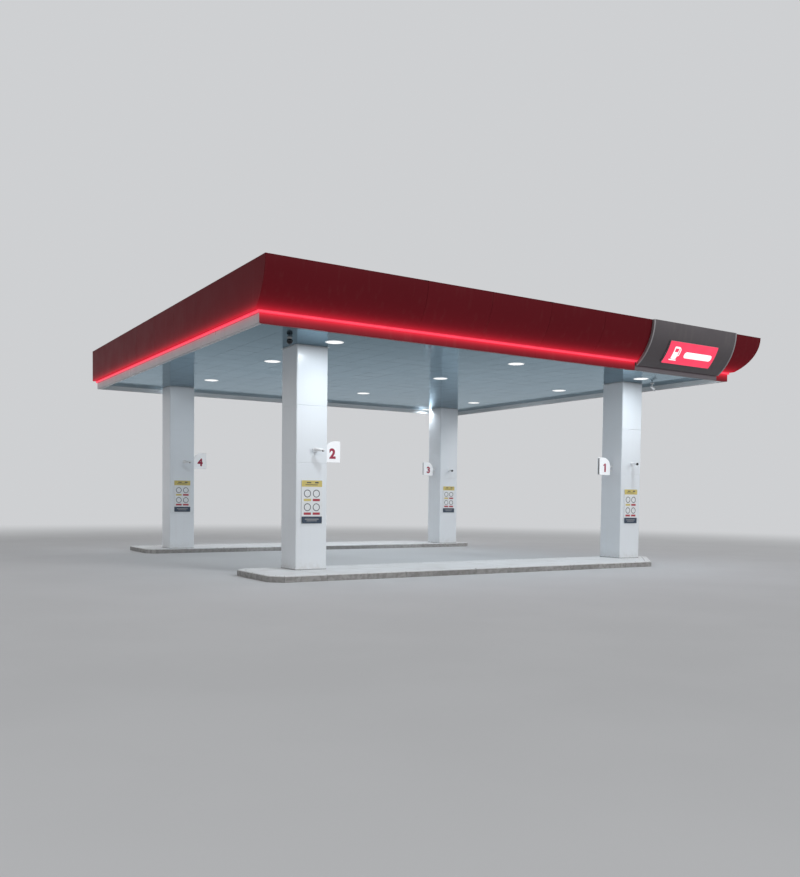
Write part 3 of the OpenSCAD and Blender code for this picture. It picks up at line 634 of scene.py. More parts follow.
def finishes():
    """Every finish of the canopy, by name."""
    c = bpy.context.scene.canopy_colours
    white = (1, 1, 1)
    paint = {"wear": 0.25, "worn": (0.42, 0.09, 0.09), "grain": 0.00002,
             "Specular_IOR_Level": 0.015}
    steel = {"rough": 0.42, "tone": 0.08, "change": spangle, "Metallic": 0.85}
    film = {"rough": 0.38, "tone": 0.03, "dust": 0.05, "grain": 0.00002, "grain_scale": 700.0}
    moulded = {"grain": 0.00003, "grain_scale": 900.0}
    return {
        # The fascia's dark red is partly painted shade, and the glow near its foot is painted red
        # light from the strip
        "red": finish("fascia_paint", c.fascia, 0.36, 0.03, 0.10, 0.30, 0.02, wave=0.002,
                      wave_scale=0.9, glow=(FOOT_Z, 0.055, 0.50, 0.11), **paint),
        "coping": finish("coping_paint", c.fascia, 0.34, 0.08, 0.14, 0.22, 0.03, **paint),
        "band": finish("band_silver", c.band, 0.33, 0.06, 0.10, 0.1, 0.12, wave=0.002,
                       glow=(FOOT_Z, 0.055, 0.72, 0.0), Metallic=0.35),
        # Front band: a dark red base colour with the strip's glow, both painted red light over the
        # band's silver sheet
        "band_painted_red_light": finish("band_red_painted_light", (0.12, 0.012, 0.018), 0.36, 0.05, 0.12, 0.05, 0.03,
                           wave=0.002, glow=(STRIP[0][2], 0.060, 1.00, 0.10),
                           Specular_IOR_Level=0.06),
        # Band under the sign: darker than the silver band, painted shade where the sign keeps the
        # strip's light off
        "band_painted_shade": finish("band_under_sign_painted_shade", (0.13, 0.115, 0.13), 0.36, 0.06, 0.08, 0.05, 0.05,
                            wave=0.002),
        "strip": lit_finish("strip_diffuser", c.glow, cloud, (0.20, 0.01, 0.02)),
        "rail": finish("strip_rail", (0.55, 0.56, 0.58), 0.3, 0.05, 0.05, 0.05, Metallic=0.9),
        # The soffit panels' dark base colour is painted shade
        "soffit": finish("soffit_gloss", c.soffit, 0.10, 0.035, 0.10, 0.0, 0.0, wave=0.0012,
                         wave_scale=2.2, grain=0.00001, Metallic=0.9,
                         Specular_Tint=(0.60, 0.75, 0.84)),
        "backing": finish("soffit_backing", (0.10, 0.105, 0.11), 0.6, 0.08, 0.05, 0.0, 0.0),
        "trim": finish("soffit_trim", (0.70, 0.72, 0.73), 0.35, 0.06, 0.04, 0.0, 0.0, Metallic=0.3),
        # The rims glow faintly white though they hold no lamp: painted light from the downlights
        "rim": finish("downlight_rim", (0.78, 0.79, 0.80), 0.28, 0.05, 0.03, 0.0, 0.0,
                      Emission_Color=white, Emission_Strength=0.4),
        "lens": lit_finish("downlight_lens", (1.0, 0.99, 0.96), prisms, (0.6, 0.6, 0.6)),
        "cladding": finish("column_sheet", c.cladding, 0.33, 0.05, 0.05, 0.05, 0.03, splash=0.45,
                           wear=0.10, worn=(0.45, 0.45, 0.46), wave=0.0015, wave_scale=1.1,
                           Coat_Weight=0.15, Coat_Roughness=0.2),
        "seal": finish("sealant", (0.20, 0.20, 0.21), 0.6, 0.1, 0.05, 0.2, 0.0),
        # The sign face's dark grey is painted shade; its returns keep the lighter silver
        "sign": finish("sign_silver", c.sign, 0.34, 0.05, 0.08, 0.2, 0.06, wave=0.0015,
                       Metallic=0.55, wear=0.2),
        "sign_edge": finish("sign_return", (0.33, 0.32, 0.33), 0.36, 0.05, 0.05, 0.1, 0.05,
                            Metallic=0.5),
        "sign_lit": lit_finish("sign_red_face", (1.0, 0.052, 0.128), cloud, (0.25, 0.01, 0.02)),
        "sign_white": lit_finish("sign_white_face", (1.0, 0.93, 0.94), cloud, (0.6, 0.55, 0.55)),
        "number": finish("number_face", (0.80, 0.81, 0.83), 0.25, 0.02, 0.03, 0.1, 0.02,
                         Coat_Weight=0.3, Emission_Color=white, Emission_Strength=0.18),
        "frame": finish("number_frame", (0.055, 0.057, 0.062), 0.42, 0.06, 0.06, 0.1, 0.03,
                        Metallic=0.4),
        "numeral": finish("numeral_film", c.numeral, **film),
        "metal": finish("brushed_metal", (0.60, 0.61, 0.62), 0.30, 0.06, 0.04, 0.05, Metallic=1.0),
        "board": finish("board_white", (0.76, 0.78, 0.80), 0.3, 0.05, 0.04, 0.1, 0.08, splash=1.4),
        "yellow": finish("board_yellow", c.yellow, **film),
        "blue": finish("board_blue", c.blue, **film),
        "ink": finish("board_ink", (0.05, 0.055, 0.065), **film),
        "board_red": finish("board_red", (0.40, 0.03, 0.05), **film),
        "camera": finish("camera_shell", (0.82, 0.83, 0.84), 0.3, 0.05, 0.03, 0.25, 0.08,
                         **moulded),
        "camera_grey": finish("camera_base", (0.36, 0.37, 0.38), 0.4, 0.06, 0.04, 0.2, 0.05,
                              **moulded),
        "dark": finish("dark_moulding", c.dark, 0.22, 0.06, 0.05, 0.04, 0.0, grain=0.00002,
                       Specular_IOR_Level=0.2, Coat_Weight=0.1),
        "glass": finish("camera_glass", (0.006, 0.007, 0.012), 0.06, 0.02, 0.02, 0.02, 0.0,
                        grain=0.0, Coat_Weight=1.0, IOR=1.6),
        "kerb": finish("kerb_concrete", c.kerb, 0.78, 0.1, 0.30, 0.15, 0.2, wear=0.5,
                       worn=(0.42, 0.41, 0.39), wave=0.002, wave_scale=6.0, grain=0.0008,
                       grain_scale=160.0, change=kerb_paint),
        "island": finish("island_top", c.island, 0.62, 0.1, 0.12, 0.18, 0.0, wave=0.003,
                         wave_scale=2.0, grain=0.0005, grain_scale=190.0, change=bays),
        "grout": finish("grout", (0.16, 0.155, 0.15), 0.85, 0.08, 0.1, 0.1, 0.0, grain=0.0006,
                        grain_scale=220.0),
        "zinc": finish("galvanised_steel", c.zinc, **steel),
        "liner": finish("parapet_liner", (0.44, 0.45, 0.46), dust=0.3, streaks=0.25, wave=0.004,
                        **steel),
        "deck": finish("deck_sheet", c.deck, 0.42, 0.08, 0.1, 0.5, 0.0, wave=0.002, change=laps,
                       Metallic=0.35),
    }


# PIECES

def add_piece(name, coats, nodes=(), bevel=0.0, segments=2, sharp=38.0):
    """One object made of coats, which are pairs of a skin and a finish's name, with rounded edges.

    Edges under a micrometre long and faces of no area are dissolved.
    """
    whole = joined([s for s, _ in coats])
    names = list(dict.fromkeys(name for _, name in coats))
    mesh = bpy.data.meshes.new(name)
    mesh.from_pydata(whole.points.tolist(), [], whole.quads.tolist())
    for key in names:
        mesh.materials.append(FINISHES[key])
    mesh.polygons.foreach_set("material_index", np.concatenate(
        [np.full(len(s.quads), names.index(key), np.int32) for s, key in coats]))
    tones = mesh.attributes.new("tone", "FLOAT", "POINT")
    tones.data.foreach_set("value", whole.tone.astype(np.float32))
    clean = bmesh.new()
    clean.from_mesh(mesh)
    bmesh.ops.dissolve_degenerate(clean, dist=1e-6, edges=clean.edges)
    clean.to_mesh(mesh)
    clean.free()
    mesh.update()
    mesh.shade_smooth()
    mesh.set_sharp_from_angle(angle=math.radians(sharp))
    return settle(bpy.data.objects.new(name, mesh), nodes, bevel, segments)


def settle(piece, nodes=(), bevel=0.0, segments=2):
    """Links a piece and rounds its edges. It rides on the canopy's one body and stands for the
    nodes that it replaces."""
    bpy.context.scene.collection.objects.link(piece)
    if bevel:
        rounding = piece.modifiers.new("Rounded edges", "BEVEL")
        rounding.width, rounding.segments = bevel, segments
        rounding.limit_method, rounding.angle_limit = "ANGLE", math.radians(38)
    piece.modifiers.new("Flat faces stay flat", "WEIGHTED_NORMAL").keep_sharp = True
    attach(piece, "root")
    if nodes:
        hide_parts(*nodes)
    return piece


def coat_nodes(finish_name, *nodes):
    """Gives CAD nodes that stay in view a finish."""
    for node in nodes:
        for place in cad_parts[node].material_slots:
            place.material = FINISHES[finish_name]


def put(coats, axes, at):
    """The same coats, turned to the axes and moved."""
    return [(s.placed(axes, at), name) for s, name in coats]


def random_draw(offset):
    """A seeded source of the small differences between like panels."""
    return np.random.default_rng(bpy.context.scene.canopy_stage.seed + offset)


def arc_radius(recess):
    """Radius of a fascia's arc, upright at the roof's top: (height^2 + recess^2) / (2 recess)."""
    return ((TOP_Z - FOOT_Z) ** 2 + recess ** 2) / (2 * recess)


def fascia_face(recess):
    """Line down a fascia's face, whose depth is radius - sqrt(radius^2 - drop^2), or none on a flat
    fascia, then a bend and a flat return to the band."""
    bend, tuck = 0.016, 0.002
    drop = np.linspace(TOP_Z - SKIN_TOP + tuck, TOP_Z - FOOT_Z - bend, 26)
    depth = 0 * drop
    if recess:
        radius = arc_radius(recess)
        depth = radius - np.sqrt(radius ** 2 - drop ** 2)
    face = np.column_stack([depth, TOP_Z - drop])
    ends = [face[-1], (recess, FOOT_Z), (recess + BAND_STEP, FOOT_Z)]
    return np.vstack([face[:-1], folded(ends, bend)])


class CanopyPiece:
    """What the operators share."""
    bl_options = {"REGISTER", "UNDO"}

    @classmethod
    def poll(cls, context):
        return context.scene is not None


class CANOPY_OT_fascia(CanopyPiece, bpy.types.Operator):
    """Curved and flat fascia cassettes with their folded returns, mitred at the four corners"""
    bl_idname = "canopy.fascia"
    bl_label = "Fascia cassettes"

    def execute(self, context):
        sizes = context.scene.canopy_sizes
        curved_bevel = 0.0022
        sections = [thick(fascia_face(recess), sizes.sheet) for recess in RECESSES]
        cuts = side_cuts(sizes.rib_pitch, sizes.rib_margin)
        for k, side in enumerate(SIDES):
            loops = side_loops(k, sections, cuts[k][1:-1])
            cassettes = joined(panels(loops, sizes.cassette_gap, random_draw(k)))
            add_piece(f"{side}_cassettes", [(cassettes, "red")], [f"fascia_{side}"],
                      curved_bevel if RECESSES[k] else 0.0)
        return {"FINISHED"}


class CANOPY_OT_coping(CanopyPiece, bpy.types.Operator):
    """Coping sheets, the cover plates over their joints and the rivets of the plates"""
    bl_idname = "canopy.coping"
    bl_label = "Coping"

    def execute(self, context):
        width = span("parapet_left")[1][0] - ROOF[0][0]
        fall, bend, metal, gap = 0.006, 0.006, 0.004, 0.004
        plate_lift, plate_half, rivet_lift = 0.0016, 0.05, 0.0012
        cap = [(width, SKIN_TOP), (width, TOP_Z - fall), (0, TOP_Z), (0, SKIN_TOP)]
        sheets, plates = ([thick(folded(cap, bend, 2) + (0, lift), metal)] * 4
                          for lift in (0.0, plate_lift))
        rivet = turned(
            [0.0005, 0.004, 0.006, 0.006], [0.0022, 0.0018, 0.0005, -0.004], 10).flipped()
        cuts = side_cuts(context.scene.canopy_sizes.coping_sheet)
        coats = []
        for k in range(4):
            loops = side_loops(k, sheets, cuts[k])
            coats += [(sheet, "coping") for sheet in panels(loops, gap, random_draw(10 + k))]
            outer, way = (ROOF[0], 1) if k in (0, 3) else (ROOF[1], -1)
            for cut in cuts[k]:
                plate = side_loops(k, plates, (cut - plate_half, cut + plate_half))[1:3]
                coats.append((panels(plate, 0.0)[0], "coping"))
                ahead, deep = np.array([(cut + away, width * share) for away in (-0.035, 0.035)
                                        for share in (0.25, 0.75)]).T
                across = outer[1 - k % 2] + way * deep
                spots = (across, ahead) if k % 2 else (ahead, across)
                height = TOP_Z - fall * deep / width + rivet_lift
                coats.append((rivet.repeated(np.column_stack([*spots, height])), "metal"))
        add_piece("coping_sheets", coats, ["coping"], 0.0007)
        return {"FINISHED"}


class CANOPY_OT_bands(CanopyPiece, bpy.types.Operator):
    """Lower band: a hollow edge section in lengths; on the front its red is painted light from the
    strip, and under the sign its dark grey is painted shade
    """
    bl_idname = "canopy.bands"
    bl_label = "Lower band"

    def execute(self, context):
        wall, bend, gap, clear_of_sign = 0.020, 0.012, 0.003, 2.0
        foot, top = BAND[0][2], BAND[1][2]
        line = folded([(0, top), (0, foot), (BAND_WIDTH, foot), (BAND_WIDTH, SOFFIT_Z)], bend)
        sections = beside_band(thick(line, wall))
        left, right = SIGN[0][0], SIGN[1][0]
        all_cuts = side_cuts(context.scene.canopy_sizes.coping_sheet)
        for k, (side, cuts) in enumerate(zip(SIDES, all_cuts)):
            front = side == "front"
            if front:
                middle = np.mean((left, right))
                cuts = [*(cut for cut in cuts if abs(cut - middle) > clear_of_sign), left, right]
            coats = []
            for part in panels(side_loops(k, sections, cuts), gap, random_draw(20 + k)):
                under_sign = left < part.points[:, 0].mean() < right
                # Under the sign the band takes painted shade, elsewhere on the front painted red
                # light
                lit = "band_painted_shade" if under_sign else "band_painted_red_light"
                coats.append((part, lit if front else "band"))
            add_piece(f"{side}_band", coats, [f"band_{side}"], 0.001)
        return {"FINISHED"}


class CANOPY_OT_strips(CanopyPiece, bpy.types.Operator):
    """Red light strips: a rounded diffuser in lengths on a metal rail"""
    bl_idname = "canopy.strips"
    bl_label = "Light strips"

    def execute(self, context):
        depth, low, high = BAND[0][1] - STRIP[0][1], STRIP[0][2], STRIP[1][2]
        inset, metal, wall, bulge = 0.012, 0.003, 0.004, 0.020
        rail = thick(folded([(-wall, high), (-depth + inset, high), (-depth + inset, low + inset),
                             (-wall, low + inset)], 0.003, 1), metal)
        turn = np.linspace(math.pi / 2, -math.pi / 2, 13)
        middle, half = (low + high) / 2, (high - low) / 2
        bow = np.column_stack([
            -depth + bulge * (1 - np.cos(turn).clip(0) ** 0.6), middle + half * np.sin(turn)])
        lining = np.column_stack([bow[:, 0] * 0.9 + 0.006, middle + (half - wall) * np.sin(turn)])
        rails, faces = beside_band(rail), beside_band(np.vstack([bow, lining[::-1]]))
        cuts = side_cuts(context.scene.canopy_sizes.strip_pitch)
        for k, side in enumerate(SIDES):
            coats = [(s, "rail") for s in panels(side_loops(k, rails, cuts[k][::2]), 0.002)]
            coats += [(s, "strip")
                      for s in panels(side_loops(k, faces, cuts[k]), 0.004, random_draw(30 + k))]
            add_piece(f"{side}_light_strip", coats, [f"light_strip_{side}"])
        return {"FINISHED"}


def light_places(context):
    """Middles of the downlights: three rows across the front and four from front to rear."""
    sizes = context.scene.canopy_sizes
    low, high = span("downlight_lenses")
    across = (low[0] + sizes.lens, sizes.light_middle, high[0] - sizes.lens)
    deep = (low[1] + sizes.lens, MIDDLES[0][1] + sizes.light_second,
            MIDDLES[2][1] - sizes.light_third, high[1] - sizes.lens)
    return [(x, y, SOFFIT_Z) for x in across for y in deep]


def holed_tile(low, high, middle, radius, under, over):
    """A tile with a round hole: at each angle round the hole's middle, the circle is joined to the
    tile's edge, which lies at the least of (edge - middle) / direction over the four edges."""
    corners = np.array([low, (high[0], low[1]), high, (low[0], high[1])]) - middle
    turn = np.sort(np.concatenate([
        np.arange(44) * np.pi / 22, np.arctan2(corners[:, 1], corners[:, 0]) % (2 * np.pi)]))
    way = np.column_stack([np.cos(turn), np.sin(turn)])
    reach = np.where(way > 0, high - middle, low - middle)
    reach = np.abs(reach / np.where(np.abs(way) < 1e-9, 1e-9, way)).min(1)
    edge, hole = middle + way * reach[:, None], middle + way * radius
    return skin([lifted(edge, under), lifted(edge, over), lifted(hole, over), lifted(hole, under)],
                True)


def notched_tile(low, high, first, last, under, over):
    """What a square from first to last, which is wider than the tile, leaves of the tile: nothing,
    a smaller rectangle, or an L. The L is a cross-section carried round its corner: its middle
    station joins the tile's outer corner to the square's, and the end stations lie on the two edges
    that the square cuts."""
    whole = (first <= low) & (last >= high)
    if whole.all():
        return []
    before = first <= low
    if whole.any():
        axis = 1 - int(np.argmax(whole))
        start, end = low.copy(), high.copy()
        if before[axis]:
            start[axis] = last[axis]
        else:
            end[axis] = first[axis]
        return [box((*start, under), (*end, over))]
    inner, outer = np.where(before, last, first), np.where(before, high, low)
    cut = np.where(before, low, high)
    stations = (((outer[0], cut[1]), (inner[0], cut[1])), (outer, inner),
                ((cut[0], outer[1]), (cut[0], inner[1])))
    rings = np.array([[(*a, under), (*b, under), (*b, over), (*a, over)] for a, b in stations])
    return [skin(rings if before[0] == before[1] else rings[:, ::-1])]


class CANOPY_OT_soffit(CanopyPiece, bpy.types.Operator):
    """Glossy square panels of the ceiling, cut round the lights and the columns, with edge trims"""
    bl_idname = "canopy.soffit"
    bl_label = "Soffit panels"

    def execute(self, context):
        sizes = context.scene.canopy_sizes
        level = SOFFIT_Z - 0.0004
        under = level - 0.003
        gap, hole, uneven = sizes.tile_gap / 2, sizes.lens + 0.011, 0.0011
        half = (COLUMNS[0][1][0] - COLUMNS[0][0][0]) / 2 + 0.005
        lights = np.array(light_places(context))[:, :2]
        columns = np.array(MIDDLES)[:, :2]

        # Joints between the panels along each axis, none nearer to the far edge than last_width
        lowest, highest = BAND[0][:2] + BAND_WIDTH, BAND[1][:2] - BAND_WIDTH
        joints = []
        for axis, (origin, last_width) in enumerate(
                ((sizes.tile_x, 0.02), (sizes.tile_y, sizes.tile))):
            first = origin + math.ceil((lowest[axis] - origin) / sizes.tile) * sizes.tile
            inside = np.arange(first, highest[axis] - last_width, sizes.tile)
            joints.append([lowest[axis], *inside, highest[axis]])

        draw = random_draw(40)
        tiles = []
        for x0, x1 in zip(joints[0], joints[0][1:]):
            for y0, y1 in zip(joints[1], joints[1][1:]):
                low, high = np.array([x0, y0]) + gap, np.array([x1, y1]) - gap
                middle, size = (low + high) / 2, high - low
                light = lights[((lights > low) & (lights < high)).all(1)]
                column = columns[(np.abs(columns - middle) < size / 2 + half).all(1)]
                if len(light):
                    made = [holed_tile(low, high, light[0], hole, under, level)]
                elif len(column):
                    made = notched_tile(low, high, column[0] - half, column[0] + half, under, level)
                else:
                    made = [box((*low, under), (*high, level))]
                tone, lean = draw.uniform(), draw.normal(0, uneven, 2)
                for tile in made:
                    lower = tile.points[:, 2] < (under + level) / 2
                    tile.points[:, 2] += (tile.points[:, :2] - middle) @ lean * lower
                    tiles.append(tile.toned(tone))
        add_piece("soffit_panels", [(joined(tiles), "soffit")], bevel=0.0009)

        drop, flange, metal, inset = 0.005, 0.028, 0.001, 0.0015
        line = folded([(inset, BAND[0][2] + 0.004), (inset, level - drop), (flange, level - drop)],
                      metal, 1)
        angles = beside_band(thick(line, metal), BAND_WIDTH)
        cuts = side_cuts(sizes.coping_sheet)
        trims = []
        for k in range(4):
            trims += panels(side_loops(k, angles, cuts[k]), 0.002)
        collar = stack(rectangle(2 * half + 0.04, 2 * half + 0.04, 0.02),
                       (0.022, 0.022, 0.002, 0.0, 0.0),
                       (level, level - drop, level - drop, level - 0.004, level), True)
        trims += [collar.placed(at=(*column, 0)) for column in columns]
        add_piece("soffit_trims", [(joined(trims), "trim")])
        coat_nodes("backing", "soffit")
        return {"FINISHED"}


class CANOPY_OT_downlights(CanopyPiece, bpy.types.Operator):
    """Downlights: turned housings with rolled rims and screws, and ribbed lenses"""
    bl_idname = "canopy.downlights"
    bl_label = "Downlights"

    def execute(self, context):
        sizes, places = context.scene.canopy_sizes, light_places(context)
        lens, outer = sizes.lens, sizes.lens + sizes.rim
        low, high = span("downlight_rims")
        drop, can, roof = SOFFIT_Z - low[2], high[2] - SOFFIT_Z, 0.010
        axis, lip = 0.001, 0.002
        roll = np.linspace(0, np.pi / 2, 5)
        radii = [axis, lens, lens, lens + lip, *(outer - drop + drop * np.sin(roll)), outer,
                 lens + roof, lens + roof, axis]
        heights = [can - roof, can - roof, -drop + lip, -drop, *(-drop * np.cos(roll)), 0.0, 0.0,
                   can, can]
        screw = turned([0.0005, 0.004, 0.0048, 0.0048], [-0.0025, -0.0022, -0.001, 0.001], 10)
        out = lens + 0.016
        spots = [(x + out * math.cos(turn), y + out * math.sin(turn), z - drop)
                 for x, y, z in places for turn in np.radians([45, 135, 225, 315])]
        add_piece("downlight_housings", [
            (turned(radii, heights, 64).repeated(places), "rim"),
            (screw.repeated(spots), "metal")], ["downlight_rims"])

        rib_count, rib_height, rib_end, side = 11, 0.0012, lens - 0.004, lens - 0.0015
        lens_low, lens_high = (end[2] - SOFFIT_Z for end in span("downlight_lenses"))
        ribs = np.linspace(axis, rib_end, 34)
        wave = lens_low + rib_height * (1 - np.cos(ribs / rib_end * 2 * np.pi * rib_count))
        glass = turned(
            [*ribs, side, side, axis], [*wave, lens_low + 0.001, lens_high, lens_high], 56)
        add_piece("downlight_glass", [(glass.repeated(places), "lens")],
                  ["downlight_lenses"], sharp=60)
        return {"FINISHED"}


class CANOPY_OT_columns(CanopyPiece, bpy.types.Operator):
    """Column cladding: round-cornered sheets with folded joints, a shadow gap and a sealed foot"""
    bl_idname = "canopy.columns"
    bl_label = "Column cladding"

    def execute(self, context):
        low, high = COLUMNS[0]
        width, foot, head = high[0] - low[0], low[2], high[2]
        first_sheet, next_sheets, radius, wall = 1.060, 1.220, 0.025, 0.030
        gap, groove, fold, neck, neck_in, bead_out = 0.004, 0.006, 0.003, 0.025, 0.018, 0.008
        insets, heights = [0.0015, 0.0], [foot + 0.0005, foot + 0.004]
        for z in (foot + first_sheet + next_sheets * k for k in range(3)):
            insets += [0.0, fold / 3, fold, groove, groove, fold, fold / 3, 0.0]
            heights += [z - gap - fold, z - gap - fold / 3, z - gap, z - gap,
                        z + gap, z + gap, z + gap + fold / 3, z + gap + fold]
        insets += [0.0, fold, neck_in, neck_in, wall, wall]
        heights += [head - neck - fold, head - neck, head - neck, head, head, foot]
        shell = stack(rectangle(width, width, radius, 6), insets, heights, True)
        outside = width + 2 * bead_out
        bead = stack(rectangle(outside, outside, radius + bead_out, 6), (0.0, 0.002, 0.008, 0.008),
                     (foot, foot + 0.006, foot + 0.011, foot), True)
        for k, middle in enumerate(MIDDLES):
            coats = [(shell.toned(random_draw(50 + k).uniform()), "cladding"), (bead, "seal")]
            add_piece(f"column_sheets_{k + 1}", put(coats, None, (*middle[:2], 0)),
                      [f"column_cladding_{k + 1}"], sharp=50)
        return {"FINISHED"}


def points_of(mesh):
    """Every vertex of a mesh, as one array."""
    points = np.empty(len(mesh.vertices) * 3)
    mesh.vertices.foreach_get("co", points)
    return points.reshape(-1, 3)


def plan_of(node):
    """Corners of a node's foot, anticlockwise."""
    points = points_of(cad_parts[node].data)
    foot = np.unique(np.round(points[points[:, 2] < 0.001][:, :2], 4), axis=0)
    away = foot - foot.mean(0)
    return foot[np.argsort(np.arctan2(away[:, 1], away[:, 0]))]


class CANOPY_OT_islands(CanopyPiece, bpy.types.Operator):
    """Islands: bevelled kerb stones with mitred corners round a painted slab"""
    bl_idname = "canopy.islands"
    bl_label = "Islands"

    def execute(self, context):
        sizes = context.scene.canopy_sizes
        height, bevel, width = span("island_front")[1][2], 0.020, sizes.kerb_width
        section = np.array([
            (width, height), (bevel, height), (0, height - bevel), (0, 0), (bevel, 0), (width, 0)])
        for number, side in enumerate(("front", "rear")):
            plan = plan_of(f"island_{side}")
            ahead = np.roll(plan, -1, 0) - plan
            lengths = np.linalg.norm(ahead, axis=1)
            ahead /= lengths[:, None]
            inward = np.column_stack([-ahead[:, 1], ahead[:, 0]])
            before = np.roll(inward, 1, 0)
            mitre = (before + inward) / (1 + (before * inward).sum(1))[:, None]
            draw = random_draw(60 + number)
            stones = []
            for k in range(len(plan)):
                first, last = (
                    plan[c] + section[:, :1] * mitre[c] for c in (k, (k + 1) % len(plan)))
                count = max(int(round(lengths[k] / sizes.kerb_stone)), 1)
                cuts = [plan[k] + ahead[k] * lengths[k] * n / count + section[:, :1] * inward[k]
                        for n in range(1, count)]
                loops = [lifted(flat, section[:, 1]) for flat in (first, *cuts, last)]
                stones += panels(loops, sizes.kerb_gap, draw)
            bed, slab = (skin([lifted(plan + inset * mitre, z) for z in (0.0, top)])
                         for inset, top in ((0.012, height - 0.012),
                                            (width + sizes.kerb_gap, height - 0.002)))
            add_piece(f"{side}_island_stones", [
                (joined(stones), "kerb"), (bed, "grout"), (slab.toned(0.5), "island")],
                [f"island_{side}"], 0.005)
        return {"FINISHED"}


class CANOPY_OT_roof(CanopyPiece, bpy.types.Operator):
    """Roof deck and parapet in their sheet finishes, and the deck's rows of screws"""
    bl_idname = "canopy.roof"
    bl_label = "Roof deck"

    def execute(self, context):
        low, high = span("roof_deck")
        coat_nodes("deck", "roof_deck")
        coat_nodes("liner", *(f"parapet_{side}" for side in SIDES))
        pitch, margin = 0.250, 0.15
        ribs = low[1] + pitch * (np.arange(int((high[1] - low[1]) / pitch)) + 0.5)
        rows = spread(low[0] + margin, high[0] - margin, context.scene.canopy_sizes.screw_pitch)
        screw = turned([0.014, 0.014, 0.009, 0.0075, 0.0075, 0.0005],
                       [0.0, 0.003, 0.004, 0.004, 0.010, 0.0105], 8)
        screws = screw.repeated([(x, y, high[2]) for x in rows for y in ribs])
        add_piece("deck_screws", [(screws, "metal")])
        return {"FINISHED"}


class CANOPY_OT_steelwork(CanopyPiece, bpy.types.Operator):
    """Galvanised finish of the posts, beams, ribs and rails inside"""
    bl_idname = "canopy.steelwork"
    bl_label = "Steelwork"

    def execute(self, context):
        coat_nodes("zinc", "steel_posts", "main_beams", "cross_beams", "rim_beams", "fascia_ribs",
                   "soffit_rails")
        return {"FINISHED"}


def sign_radii():
    """Radius of the front fascia's curve, and of the sign panel's face on the same middle."""
    radius = arc_radius(RECESSES[0])
    return radius, radius + ROOF[0][1] - SIGN[0][1]


def bent(flat):
    """Wraps a flat skin round the sign's face: x stays, y is the arc length up from the roof's top,
    which turns into an angle y / radius, and z stands out along the radius."""
    radius, face = sign_radii()
    turn = -flat.points[:, 1] / face
    reach = face + flat.points[:, 2]
    y, z = ROOF[0][1] + radius - reach * np.cos(turn), TOP_Z - reach * np.sin(turn)
    return Skin(np.column_stack([flat.points[:, 0], y, z]), flat.quads, flat.tone)


def plate(rows, left, right, back, front):
    """A flat plate in the XY plane, its left and right edge given at each row, from below."""
    rows, left, right = (np.asarray(v, float) for v in np.broadcast_arrays(rows, left, right))
    rings = [np.stack([edge, rows, 0 * rows + z], -1)
             for edge, z in ((right, front), (right, back), (left, back), (left, front))]
    return skin(np.stack(rings, 1))


def round_plate(middle, width, height, radius, back, front, rows=8):
    """A plate with round corners: within radius of an end, each side comes in by radius -
    sqrt(radius^2 - t^2)."""
    turn = np.linspace(0, np.pi / 2, 6)
    low, high = middle[1] - height / 2, middle[1] + height / 2
    up = np.concatenate([
        low + radius * (1 - np.cos(turn)), np.linspace(low + radius, high - radius, rows)[1:-1],
        high - radius + radius * np.sin(turn)])
    short = np.concatenate([
        radius * (1 - np.sin(turn)), np.zeros(rows - 2), radius * (1 - np.cos(turn))])
    return plate(up, middle[0] - width / 2 + short, middle[0] + width / 2 - short, back, front)


